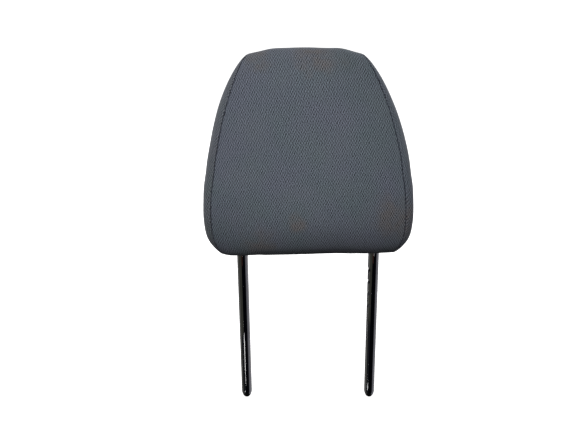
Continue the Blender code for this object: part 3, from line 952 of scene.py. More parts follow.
@dataclass(frozen=True)
class Foam(Finish):
    """Moulded open-cell foam with a thin skin.

    Attributes:
        name: The material's name.
        colour: The skin's colour, linear.
        aged: Its colour where it has yellowed, linear.
        pore: The colour down in its pores, linear.
        relief: The pores' depth, in metres.
    """

    name: str = "foam"
    colour: Colour = (0.62, 0.57, 0.44)
    aged: Colour = (0.60, 0.48, 0.28)
    pore: Colour = (0.34, 0.28, 0.18)
    relief: float = 0.0004

    def make(self, effects: Effects) -> bpy.types.Material:
        """Return the foam: pores of two sizes in a skin that has yellowed in patches.

        Args:
            effects: The shared shader groups.

        Returns:
            The material.
        """
        material, graph, shader = self.start()
        place = graph.object_place()
        pores = graph.cells(place, 850.0)
        fine = graph.cells(place, 2300.0)
        depth = graph.math("MULTIPLY_ADD", fine, 0.5, pores)
        open_share = graph.fit(depth, 0.15, 0.55, 1.0, 0.0)
        aged = graph.fit(graph.noise(place, 18.0, detail=3.0), 0.4, 0.7, 0.0, 1.0)
        skin = graph.mix(aged, self.colour, self.aged)
        grain = graph.group(effects.grain, Vector=place, Scale=1600.0)
        values = {
            "Base Color": graph.mix(open_share, skin, self.pore),
            "Roughness": graph.fit(grain.outputs["Speckle"], 0.3, 0.7, 0.86, 1.0),
            "Normal": graph.bump(depth, self.relief, 0.8),
        }
        graph.fill(shader, values)
        return material


@dataclass(frozen=True)
class ZincSteel(Finish):
    """Zinc plated screw steel.

    Attributes:
        name: The material's name.
        colour: The plating's colour, linear.
        passivated: Its colour where it is clouded, linear.
        relief: The plating's unevenness, in metres.
    """

    name: str = "screw_steel"
    colour: Colour = (0.56, 0.56, 0.52)
    passivated: Colour = (0.60, 0.55, 0.38)
    relief: float = 0.00002

    def make(self, effects: Effects) -> bpy.types.Material:
        """Return the steel: clouded plating with drive marks.

        Args:
            effects: The shared shader groups.

        Returns:
            The material.
        """
        material, graph, shader = self.start()
        place = graph.object_place()
        marks = graph.group(effects.handling, Vector=place, Scale=420.0)
        grain = graph.group(effects.grain, Vector=place, Scale=5200.0)
        values = {
            "Base Color": graph.mix(marks.outputs["Smudge"], self.colour, self.passivated),
            "Metallic": 1.0,
            "Roughness": graph.fit(marks.outputs["Scratch"], 0.0, 1.0, 0.3, 0.5),
            "Normal": graph.bump(grain.outputs["Height"], self.relief, 0.5),
        }
        graph.fill(shader, values)
        return material


@dataclass(frozen=True)
class Thread(Finish):
    """Twisted sewing thread.

    Attributes:
        name: The material's name.
        colour: The thread's colour between its plies, linear.
        relief: Its plies' depth, in metres.
    """

    name: str = "sewing_thread"
    colour: Colour = (0.018, 0.021, 0.034)
    relief: float = 0.0001

    def make(self, effects: Effects) -> bpy.types.Material:
        """Return the thread: two plies twisted together, darker between them.

        Args:
            effects: The shared shader groups.

        Returns:
            The material.
        """
        material, graph, shader = self.start()
        place = graph.object_place()
        grain = graph.group(effects.grain, Vector=place, Scale=2600.0)
        twist = graph.fit(grain.outputs["Height"], 0.2, 0.9, 0.0, 1.0)
        pale = tuple(value * 2.4 for value in self.colour)
        values = {
            "Base Color": graph.mix(twist, self.colour, pale),
            "Roughness": graph.fit(twist, 0.0, 1.0, 0.7, 0.5),
            "Normal": graph.bump(grain.outputs["Height"], self.relief, 0.6),
        }
        graph.fill(shader, values)
        return material


@dataclass(frozen=True)
class CushionForm:
    """The cushion's shape, from its side loop, its width at each height and its swell.

    Lengths are in metres. They are those of the part's cover.
    """

    underside: float = 0.0021
    seam_height: float = 0.2065
    sink: float = 0.001
    half_depth_low: float = 0.0435
    half_depth_high: float = 0.0355
    top_setback: float = 0.004
    height_exponent: float = 2.95
    depth_exponent: float = 3.05
    width_heights: Numbers = (0.0, 0.040, 0.095, 0.145, 0.180, 0.2065)
    half_widths: Numbers = (0.0934, 0.0989, 0.0945, 0.0829, 0.0704, 0.0577)
    face_crown: float = 0.007
    top_crown: float = 0.006
    crown_exponent: float = 2.2
    bulge_low: float = 0.0128
    bulge_high: float = 0.0075
    bulge_reach: float = 8.0
    bulge_edge: float = 0.69
    samples: int = 2400
    level_margin: float = 0.00001

    def loop(self, count: int, fixed_y: Numbers = ()) -> Array:
        """Return the seam's loop from the middle of the underside, up the back and down the face.

        The loop is a superellipse: with share s = (1 + sgn(sin a)|sin a|^(2/p)) / 2, the height is
        s times the seam's height, held level at the underside, and y is a setback times s plus the
        half depth at s times sgn(cos a)|cos a|^(2/q). It is then spaced evenly along its length.

        Args:
            count: How many points the loop has.
            fixed_y: Places on the underside that a point of the loop is moved to.

        Returns:
            Points, as (point, (y, z)).
        """
        angle = np.linspace(-math.pi / 2, 1.5 * math.pi, self.samples, endpoint=False)
        sine, cosine = np.sin(angle), np.cos(angle)
        share = 0.5 + 0.5 * np.sign(sine) * np.abs(sine) ** (2 / self.height_exponent)
        depth = self.half_depth_low * (1 - share) + self.half_depth_high * share
        y = self.top_setback * share
        y = y + depth * np.sign(cosine) * np.abs(cosine) ** (2 / self.depth_exponent)
        rise = (self.seam_height + self.sink) * share
        z = np.maximum(self.underside - self.sink + rise, self.underside)
        closed, travel = closed_travel(np.stack([y, z], axis=1))
        loop = read_along(travel, closed, np.linspace(0.0, travel[-1], count, endpoint=False))
        level = loop[:, 1] < self.underside + self.level_margin
        for place in fixed_y:
            nearest = np.argmin(np.where(level, np.abs(loop[:, 0] - place), 1.0))
            loop[nearest, 0] = place
        return loop

    def loop_normals(self, loop: Array) -> Array:
        """Return the outward unit normals of a (y, z) loop.

        Args:
            loop: The loop's points.

        Returns:
            A normal for each point.
        """
        along = unit(np.roll(loop, -1, axis=0) - np.roll(loop, 1, axis=0))
        normals = np.stack([along[:, 1], -along[:, 0]], axis=1)
        outward = np.sign(np.sum((loop - loop.mean(axis=0)) * normals, axis=1))
        return normals * outward[:, None]

    def half_width(self, z: Array) -> Array:
        """Return half the distance between the seams at heights z."""
        heights, widths = np.array(self.width_heights), np.array(self.half_widths)
        return curve_through(heights, widths, z - self.underside)

    def centre_rings(self, loop: Array, across: Array) -> Array:
        """Return the centre panel: the loop at places across it, swollen between the seams.

        A ring at across is (half width times across, loop + normal * crown * (1 - |across|^2.2)).
        The crown is the face's times ny^2 plus the top's times max(nz, 0)^2.

        Args:
            loop: The seam's loop, as (y, z).
            across: Places from -1 at the left seam to 1 at the right one.

        Returns:
            Points, as (ring, point, axis).
        """
        normals = self.loop_normals(loop)
        upward = np.clip(normals[:, 1], 0.0, 1.0)
        crown = self.face_crown * normals[:, 0] ** 2 + self.top_crown * upward**2
        swell = crown[None, :] * (1 - np.abs(across[:, None]) ** self.crown_exponent)
        profile = loop[None] + normals[None] * swell[..., None]
        x = self.half_width(loop[:, 1])[None, :] * across[:, None]
        return np.concatenate([x[..., None], profile], axis=-1)

    def side_rings(self, loop: Array, shares: Array, side: Side) -> Array:
        """Return a side panel: the loop shrunk towards its middle by shares, and bulged outwards.

        A ring at share s is middle + (loop - middle) s, at x = half width + bulge, where the bulge
        is its greatest value at that height times (1 - s^8)^0.69.

        Args:
            loop: The seam's loop, as (y, z).
            shares: Sizes of the rings, from 1 at the seam to 0 at the pole.
            side: Which side panel.

        Returns:
            Points, as (ring, point, axis).
        """
        middle = loop.mean(axis=0)
        profile = middle + (loop - middle)[None] * shares[:, None, None]
        rise = (profile[..., 1] - self.underside) / self.seam_height
        bulge = self.bulge_low * (1 - rise) + self.bulge_high * rise
        bulge = bulge * (1 - shares[:, None] ** self.bulge_reach) ** self.bulge_edge
        x = (self.half_width(profile[..., 1]) + bulge) * side.value
        return np.concatenate([x[..., None], profile], axis=-1)


@dataclass(frozen=True)
class Settling:
    """How the used cushion has settled on its frame.

    Attributes:
        lean: Pairs of a height and how far the cushion has moved to the left there.
        spread: Pairs of a height and how far each side stands out there.
        sag: Pairs of an X and how far the face's lower edge hangs down there.
        lumps: Lumps in the top, as (X, reach to either side, height).
        pull: Height, and how far the face's left and right seams are drawn in there.
        edge: The X at which the spread is whole.
        front: How far in front of the posts the sag starts, and is whole.
        low: The heights at which the sag starts to fade, and is gone.
        top: The heights at which the lumps start, and are whole.
        seam_side: How far from the middle the pull starts, and is whole.
        seam_front: How far in front of the posts the pull starts, and is whole.
    """

    lean: Pairs = (
        (0.0, 0.0),
        (0.030, -0.0004),
        (0.110, -0.0003),
        (0.145, 0.0007),
        (0.165, 0.0016),
        (0.190, 0.0023),
        (0.212, 0.0030),
    )
    spread: Pairs = (
        (0.002, -0.0022),
        (0.012, 0.0004),
        (0.022, 0.0018),
        (0.040, 0.0006),
        (0.072, 0.0004),
        (0.095, -0.0007),
        (0.116, -0.0006),
        (0.138, 0.0),
        (0.160, 0.0006),
        (0.190, 0.0009),
        (0.200, 0.0008),
        (0.208, 0.0000),
    )
    sag: Pairs = (
        (-0.100, 0.0016),
        (-0.084, 0.0062),
        (-0.072, 0.0056),
        (-0.050, 0.0034),
        (0.000, 0.0013),
        (0.030, 0.0003),
        (0.072, 0.0024),
        (0.084, 0.0018),
        (0.100, 0.0004),
    )
    lumps: Triples = (
        (0.037, 0.012, 0.0018),
        (-0.034, 0.012, 0.0011),
        (0.0, 0.046, 0.0009),
    )
    pull: Triples = (
        (0.004, 0.0036, 0.0030),
        (0.020, 0.0012, 0.0012),
        (0.045, 0.0000, 0.0000),
        (0.130, 0.0004, 0.0000),
        (0.165, 0.0016, 0.0000),
        (0.200, 0.0020, 0.0000),
    )
    edge: float = 0.060
    front: tuple[float, float] = (0.0135, 0.026)
    low: tuple[float, float] = (0.012, 0.060)
    top: tuple[float, float] = (0.188, 0.206)
    seam_side: tuple[float, float] = (0.02, 0.06)
    seam_front: tuple[float, float] = (0.018, 0.034)

    def read(self, pairs: Sequence[tuple[float, float]], at: Array) -> Array:
        """Return a smooth curve through pairs of a place and a value, read at places."""
        places, values = np.array(pairs).T
        return curve_through(places, values, np.clip(at, places[0], places[-1]))

    def apply(self, points: Array) -> Array:
        """Return points moved with the cushion.

        x goes down by the lean at its height, and outwards by the spread times x / edge, held at 1.
        On the face it also goes inwards by its side's pull times a smooth step of |x|.
        z goes down by the sag at its x times a smooth step of -y and one less a smooth step of
        height, which leaves the lower edge of the face. It goes up by each lump's height
        exp(-((x - place) / reach)^2) times a smooth step of height at the top.

        Args:
            points: Points, with their axes last.

        Returns:
            The moved points.
        """
        x, y, z = points[..., 0], points[..., 1], points[..., 2]
        front = smooth_step(-y, *self.front) * (1 - smooth_step(z, *self.low))
        rise = sum(high * np.exp(-(((x - at) / reach) ** 2)) for at, reach, high in self.lumps)
        up = rise * smooth_step(z, *self.top) - front * self.read(self.sag, x)
        out = self.read(self.spread, z) * np.clip(x / self.edge, -1.0, 1.0)
        left, right = (self.read([(row[0], row[side]) for row in self.pull], z) for side in (1, 2))
        drawn = np.where(x < 0, left, -right) * smooth_step(np.abs(x), *self.seam_side)
        drawn = drawn * smooth_step(-y, *self.seam_front)
        return np.stack([x + out + drawn - self.read(self.lean, z), y, z + up], axis=-1)


@dataclass
class Padding:
    """The cushion's skin, blown up between its held seams by a cloth simulation.

    Lengths are in metres.
    """

    form: CushionForm
    loop_points: int = 128
    centre_steps: int = 42
    side_steps: int = 14
    side_crowding: float = 1.8
    slot_half_length: float = 0.0523
    slot_front: float = -0.005
    slot_back: float = 0.0024
    slack: float = 0.00065
    slack_reach: float = 0.010
    travel_cap: float = 0.0017
    pressure: float = 4.0
    stiffness: float = 1.0
    bending: float = 0.3
    point_mass: float = 0.3
    quality: int = 6
    frames: int = 20
    loop: Array = field(init=False)
    across: Array = field(init=False)
    shares: Array = field(init=False)

    def __post_init__(self) -> None:
        """Place the grid's lines, with one on each edge of the closure's slot."""
        middle = (self.slot_front + self.slot_back) / 2
        fixed = (self.slot_front, middle, self.slot_back)
        self.loop = self.form.loop(self.loop_points, fixed)
        across = np.linspace(-1.0, 1.0, self.centre_steps + 1)
        edge = self.slot_half_length / self.form.half_widths[0]
        for place in (-edge, edge):
            across[np.argmin(np.abs(across - place))] = place
        self.across = across
        steps = np.arange(self.side_steps) / self.side_steps
        self.shares = 1 - steps**self.side_crowding

    def stacked(self, left: Array, centre: Array, right: Array) -> Array:
        """Return the rings of all three panels, from the left pole's to the right pole's."""
        return np.concatenate([left[:0:-1], centre, right[1:]])

    def target(self) -> Array:
        """Return the rings of the cushion's form, without its poles.

        Returns:
            Points, as (ring, point, axis).
        """
        left = self.form.side_rings(self.loop, self.shares, Side.LEFT)
        right = self.form.side_rings(self.loop, self.shares, Side.RIGHT)
        return self.stacked(left, self.form.centre_rings(self.loop, self.across), right)

    def poles(self, depth: float = 0.0) -> tuple[Array, Array]:
        """Return the middle points of the side panels, moved inwards by a depth.

        Args:
            depth: How far inwards they are moved.

        Returns:
            The left and the right pole.
        """
        both = []
        for side in (Side.LEFT, Side.RIGHT):
            ring = self.form.side_rings(self.loop, np.array([0.0]), side)
            both.append(ring[0, 0] - np.array([side.value * depth, 0.0, 0.0]))
        return both[0], both[1]

    def normals(self, rings: Array) -> Array:
        """Return the outward unit normals of stacked rings: the cross product of their two steps.

        Args:
            rings: Points, as (ring, point, axis).

        Returns:
            A normal for each point.
        """
        around = np.roll(rings, -1, axis=1) - np.roll(rings, 1, axis=1)
        normals = unit(np.cross(around, np.gradient(rings, axis=0)))
        middle = len(rings) // 2
        outward = np.sum(normals[middle] * (rings[middle] - rings.mean(axis=(0, 1))))
        return normals * np.sign(outward)

    def seam_numbers(self) -> tuple[int, int]:
        """Return the numbers of the left and the right seam's ring in the stack."""
        return self.side_steps - 1, self.side_steps - 1 + self.centre_steps

    def seam_distance(self, rings: Array) -> Array:
        """Return how far each ring lies from its nearest seam, along the skin.

        Args:
            rings: Points, as (ring, point, axis).

        Returns:
            A distance for each point.
        """
        steps = np.linalg.norm(np.diff(rings, axis=0), axis=2)
        travel = np.concatenate([np.zeros((1, rings.shape[1])), np.cumsum(steps, axis=0)])
        return np.min([np.abs(travel - travel[seam]) for seam in self.seam_numbers()], axis=0)

    def blown(self) -> Array:
        """Return the skin's rings after the simulation.

        The skin starts inside its form by the slack, is held at its seams and at the underside,
        and is pressed outwards. Each point keeps the part of its travel that follows its normal,
        up to the cap.

        Returns:
            Points, as (ring, point, axis), without the poles.
        """
        target = self.target()
        normals = self.normals(target)
        reach = 1 - np.exp(-((self.seam_distance(target) / self.slack_reach) ** 2))
        level = normals[..., 2] < -0.9
        inset = np.where(level, 0.0, self.slack * reach)
        start = target - normals * inset[..., None]
        swollen = self.simulate(start, level)
        travel = np.sum((swollen - start) * normals, axis=-1)
        travel = np.clip(travel, 0.0, self.travel_cap)
        travel[level] = 0.0
        for _ in range(2):
            around = (np.roll(travel, 1, axis=1) + np.roll(travel, -1, axis=1)) / 2
            travel = 0.5 * travel + 0.5 * around
        mean, most = travel.mean() * 1e3, travel.max() * 1e3
        LOG.info("padding: mean travel %.2f mm, most %.2f mm", mean, most)
        return start + normals * travel[..., None]

    def simulate(self, start: Array, level: Array) -> Array:
        """Run Blender's cloth on the closed skin.

        Args:
            start: The rings before the simulation.
            level: Which points lie on the underside, and are held.

        Returns:
            The rings after it.
        """
        first, last = self.poles(self.slack)
        item = RingSurface(start, first, last).build("padding_trial")
        held = np.zeros(start.shape[:2], bool)
        held[list(self.seam_numbers())] = True
        numbers = np.flatnonzero((held | level).ravel()).tolist()
        item.vertex_groups.new(name="held").add(numbers, 1.0, "REPLACE")
        cloth = item.modifiers.new("padding", "CLOTH")
        settings = {
            "quality": self.quality,
            "mass": self.point_mass,
            "tension_stiffness": self.stiffness,
            "compression_stiffness": self.stiffness,
            "shear_stiffness": self.stiffness / 3,
            "bending_stiffness": self.bending,
            "use_pressure": True,
            "uniform_pressure_force": self.pressure,
            "vertex_group_mass": "held",
        }
        for key, value in settings.items():
            setattr(cloth.settings, key, value)
        cloth.settings.effector_weights.gravity = 0.0
        cloth.point_cache.frame_start = 1
        cloth.point_cache.frame_end = self.frames
        scene = bpy.context.scene
        for number in range(1, self.frames + 1):
            scene.frame_set(number)
        evaluated = item.evaluated_get(bpy.context.evaluated_depsgraph_get())
        places = np.empty(len(evaluated.data.vertices) * 3, np.float32)
        evaluated.data.vertices.foreach_get("co", places)
        result = places.astype(float).reshape(-1, 3)[: start.shape[0] * start.shape[1]]
        bpy.data.objects.remove(item, do_unlink=True)
        scene.frame_set(1)
        return result.reshape(start.shape)


@dataclass
class Cover:
    """The sewn cover: a centre panel and two side panels, their seams and the closure's hem.

    Lengths are in metres.
    """

    padding: Padding
    settling: Settling
    shoulder: float = 0.00075
    seam_gap: float = 0.00012
    seam_depth: float = 0.0020
    edge_limit: float = 0.94
    edge_shares: Numbers = (0.0, 0.0, 0.0, 0.04, 0.16, 0.38, 0.68, 1.0, 1.25)
    # Painted seam shade of each turned-edge ring, from the deepest out, as a share of the cloth's
    # dark seam colour.
    edge_shades: Numbers = (1.0, 1.0, 1.0, 1.0, 0.95, 0.7, 0.3, 0.05, 0.0)
    sleeve_hole: float = 0.0109
    push_from: float = 0.0055
    level_margin: float = 0.0005
    spoke_ring: int = 8
    pole_rise: float = 0.00003
    stitch_pitch: float = 0.0046
    stitch_length: float = 0.0032
    stitch_rings: int = 7
    thread_radius: float = 0.00024
    thread_sides: int = 6
    stitch_depth: float = 0.0004
    stitch_dip: float = 0.0007
    hem_radius: float = 0.0008
    hem_rise: float = 0.35
    hem_exponents: tuple[float, float] = (14.0, 4.0)
    hem_samples: int = 240
    hem_points: int = 220
    hem_sides: int = 12
    rings: Array = field(init=False)
    normals: Array = field(init=False)

    def __post_init__(self) -> None:
        """Blow up the skin and keep it with its normals."""
        self.rings = self.padding.blown()
        self.normals = self.padding.normals(self.rings)

    def turned_edge(self, edge: Array, inner: Array, normals: Array, outward: Array) -> Array:
        """Return the rings with which a panel rounds over its seam and turns inwards.

        At a distance t from the seam's middle the skin lies r - sqrt(r^2 - (r - t)^2) deep, which
        is a quarter circle of radius r. The rings go on down the seam's wall to its whole depth.

        Args:
            edge: The panel's ring on the seam.
            inner: Its next ring, away from the seam.
            normals: The skin's normals at the edge.
            outward: Unit directions along the skin from the seam into the panel.

        Returns:
            Rings from the deepest to the one nearest to the inner ring.
        """
        radius = self.shoulder
        length = np.linalg.norm(inner - edge, axis=-1)
        share = np.array(self.edge_shares)
        closeness = np.maximum(1 - share, 0.0)
        depth = radius - np.sqrt(np.maximum(radius**2 - (radius * closeness) ** 2, 0.0))
        depth[:2] = (self.seam_depth, (self.seam_depth + radius) / 2)
        along = np.minimum((share * radius)[:, None] / length[None], self.edge_limit)
        skin = edge[None] + (inner - edge)[None] * along[..., None]
        gap = outward[None] * (self.seam_gap * closeness)[:, None, None]
        return skin + gap - normals[None] * depth[:, None, None]

    def panel(self, number: int, step: int, end: int) -> tuple[Array, Array]:
        """Return a panel's rings from its turned edge at one seam to its last ring.

        Args:
            number: The seam's ring in the stack.
            step: 1 to go up the stack from the seam, -1 to go down it.
            end: The last ring's number.

        Returns:
            The turned edge's rings, and the rest of the panel's rings.
        """
        edge, inner = self.rings[number], self.rings[number + step]
        turned = self.turned_edge(edge, inner, self.normals[number], unit(inner - edge))
        stop = None if end + step < 0 else end + step
        return turned, self.rings[number + step : stop : step]

    def build_centre(self) -> bpy.types.Object:
        """Return the centre panel, open at the closure's slot and round the sleeves.

        Its weave coordinates are (half width times across, minus the distance along the loop).

        Returns:
            The panel.
        """
        left, right = self.padding.seam_numbers()
        middle = (left + right) // 2
        near, near_rest = self.panel(left, 1, middle)
        far, far_rest = self.panel(right, -1, middle + 1)
        rings = np.concatenate([near, near_rest, far_rest[::-1], far[::-1]])
        edges = np.ones(len(near))
        places = np.concatenate([-edges, self.padding.across[1:-1], edges])
        closed, travel = closed_travel(self.padding.loop)
        width = self.padding.form.half_width(closed[:, 1])
        flat = np.stack(
            [places[:, None] * width[None], np.broadcast_to(-travel, (len(places), len(travel)))],
            axis=-1,
        )
        corners = (rings[:-1] + rings[1:]) / 2
        middles = (corners + np.roll(corners, -1, axis=1)) / 2
        x, y, z = middles[..., 0], middles[..., 1], middles[..., 2]
        level = z < self.padding.form.underside + self.level_margin
        slot = (np.abs(x) < self.padding.slot_half_length) & (y < self.padding.slot_back)
        slot &= y > self.padding.slot_front
        hole = np.hypot(np.abs(x) - POST_X, y) < self.sleeve_hole
        # Painted shade in the seams, on the turned edges at both seams.
        shade = np.zeros(len(rings))
        shade[: len(near)], shade[-len(far) :] = self.edge_shades, self.edge_shades[::-1]
        surface = RingSurface(
            self.settling.apply(self.opened(rings)),
            flat=flat,
            shade=shade,
            left_out=level & (slot | hole),
        )
        item = surface.build("cover_centre")
        add_subdivision(item)
        return item

    def opened(self, rings: Array) -> Array:
        """Return rings with the points inside the sleeves' holes pushed out to the holes' edges.

        Args:
            rings: Points, as (ring, point, axis).

        Returns:
            The rings with those points moved.
        """
        x, y = np.abs(rings[..., 0]) - POST_X, rings[..., 1]
        radius = np.hypot(x, y)
        low = rings[..., 2] < self.padding.form.underside + self.level_margin
        inside = low & (radius < self.sleeve_hole) & (radius > self.push_from)
        push = np.where(inside, self.sleeve_hole, radius)
        scale = push / np.maximum(radius, GUARD)
        moved = rings.copy()
        moved[..., 0] = np.sign(rings[..., 0]) * (POST_X + x * scale)
        moved[..., 1] = y * scale
        return np.where(low[..., None], moved, rings)

    def build_side(self, side: Side) -> bpy.types.Object:
        """Return a side panel, a closed dish.

        Its weave coordinates are the pole's (y, z) plus, along each spoke's first direction in the
        (y, z) plane, the distance from the pole over the cloth.

        Args:
            side: Which side panel.

        Returns:
            The panel.
        """
        left, right = self.padding.seam_numbers()
        if side is Side.LEFT:
            turned, rest = self.panel(left, -1, 0)
        else:
            turned, rest = self.panel(right, 1, len(self.rings) - 1)
        rings = self.settling.apply(np.concatenate([turned, rest]))
        pole = rings[-1].mean(axis=0) + np.array([side.value * self.pole_rise, 0.0, 0.0])
        spokes = np.concatenate([rings, np.broadcast_to(pole, (1, *rings.shape[1:]))])
        steps = np.linalg.norm(np.diff(spokes, axis=0), axis=-1)
        reach = np.cumsum(steps[::-1], axis=0)[::-1]
        first_way = unit(rings[self.spoke_ring, :, 1:] - pole[1:])
        flat = pole[1:] + first_way[None] * reach[..., None]
        flat = np.concatenate([flat, flat[:, :1]], axis=1) * [side.value, 1.0]
        # Painted shade in the seam, on the turned edge.
        shade = np.zeros(len(rings))
        shade[: len(turned)] = self.edge_shades
        surface = RingSurface(rings, last_pole=pole, flat=flat, shade=shade)
        item = surface.build(f"cover_{side.name.lower()}")
        add_subdivision(item)
        return item

    def build_thread(self) -> bpy.types.Object:
        """Return the stitches that show in both seams, as short bowed lengths of thread.

        A stitch runs along the seam, at a depth that grows by dip u^4 for u from -1 to 1, and is a
        tube round that line.

        Returns:
            The thread as one piece.
        """
        tubes = []
        for number in self.padding.seam_numbers():
            edge, travel = closed_travel(self.rings[number])
            normal = np.concatenate([self.normals[number], self.normals[number, :1]])
            count = int(travel[-1] / self.stitch_pitch)
            middle = np.linspace(0.0, travel[-1], count, endpoint=False)
            u = np.linspace(-1.0, 1.0, self.stitch_rings)
            stops = (middle[:, None] + u * self.stitch_length / 2) % travel[-1]
            line = read_along(travel, edge, stops)
            up = unit(read_along(travel, normal, stops))
            across = unit(np.cross(unit(np.gradient(line, axis=1)), up))
            line = line - up * (self.stitch_depth + self.stitch_dip * u**4)[None, :, None]
            tubes.append(tube_rings(line, up, across, self.thread_radius, self.thread_sides))
        return self.build_tubes(self.settling.apply(np.concatenate(tubes)), "seam_thread")

    def build_tubes(self, tubes: Array, name: str) -> bpy.types.Object:
        """Return many closed tubes as one piece.

        Args:
            tubes: Points, as (tube, ring, point in the ring, axis).
            name: The piece's name.

        Returns:
            The piece.
        """
        count, rings, sides = tubes.shape[:3]
        quads = grid_quads(rings, sides).reshape(-1, 4)
        first = np.arange(sides)[::-1]
        ends = np.stack([first, first[::-1] + (rings - 1) * sides])
        starts = (np.arange(count) * rings * sides)[:, None, None]
        faces = (quads[None] + starts).reshape(-1, 4).tolist()
        faces += (ends[None] + starts).reshape(-1, sides).tolist()
        return add_mesh(name, tubes.reshape(-1, 3), faces)

    def build_hem(self) -> bpy.types.Object:
        """Return the cloth rolled over the edge of the closure's slot.

        Its line is the superellipse |x/a|^14 + |y/b|^4 = 1 round the slot. Its section is a circle.

        Returns:
            The hem.
        """
        angle = np.linspace(0.0, 2 * math.pi, self.hem_samples, endpoint=False)
        half = (self.padding.slot_back - self.padding.slot_front) / 2
        middle = (self.padding.slot_back + self.padding.slot_front) / 2
        sine, cosine = np.sin(angle), np.cos(angle)
        long_way, short_way = self.hem_exponents
        x = self.padding.slot_half_length * np.sign(cosine) * np.abs(cosine) ** (2 / long_way)
        y = middle + half * np.sign(sine) * np.abs(sine) ** (2 / short_way)
        z = np.full_like(x, self.padding.form.underside + self.hem_radius * self.hem_rise)
        closed, travel = closed_travel(np.stack([x, y, z], axis=1))
        stops = np.linspace(0.0, travel[-1], self.hem_points, endpoint=False)
        line = read_along(travel, closed, stops)
        along = unit(np.roll(line, -1, axis=0) - np.roll(line, 1, axis=0))
        up = np.broadcast_to(np.array([0.0, 0.0, 1.0]), along.shape)
        rings = tube_rings(line, np.cross(along, up), up, self.hem_radius, self.hem_sides)
        item = RingSurface(rings, looped=True).build("closure_hem")
        layer = item.data.uv_layers.new(name="weave")
        corner = np.empty(len(item.data.loops), np.int32)
        item.data.loops.foreach_get("vertex_index", corner)
        places = rings.reshape(-1, 3)[corner][:, :2]
        layer.data.foreach_set("uv", places.astype(np.float32).ravel())
        return item

    def build(self, effects: Effects) -> list[bpy.types.Object]:
        """Build and dress the whole cover.

        Args:
            effects: The shared shader groups.

        Returns:
            Its pieces.
        """
        face = Cloth(
            "cover_cloth",
            colour=(0.110, 0.125, 0.151),
            cool=(0.103, 0.126, 0.144),
            warm=(0.112, 0.124, 0.156),
        ).make(effects)
        # Painted light and shade: the side panels are copies of the face's cloth, their colours set
        # to how the light falls on each side.
        left = Cloth(
            "cover_cloth_left_painted_shading",
            colour=(0.099, 0.111, 0.123),
            cool=(0.093, 0.111, 0.120),
            warm=(0.102, 0.110, 0.129),
        ).make(effects)
        right = Cloth(
            "cover_cloth_right_painted_shading",
            colour=(0.111, 0.124, 0.150),
            cool=(0.104, 0.124, 0.148),
            warm=(0.115, 0.122, 0.152),
        ).make(effects)
        pieces = []
        for piece, nodes, material in (
            (self.build_centre(), ("cover_centre_panel",), face),
            (self.build_side(Side.LEFT), ("cover_side_left",), left),
            (self.build_side(Side.RIGHT), ("cover_side_right",), right),
        ):
            piece.data.materials.append(material)
            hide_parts(*nodes)
            pieces.append(piece)
        thread = self.build_thread()
        thread.data.materials.append(Thread().make(effects))
        hem = self.build_hem()
        hem.data.materials.append(face)
        return [*pieces, thread, hem]


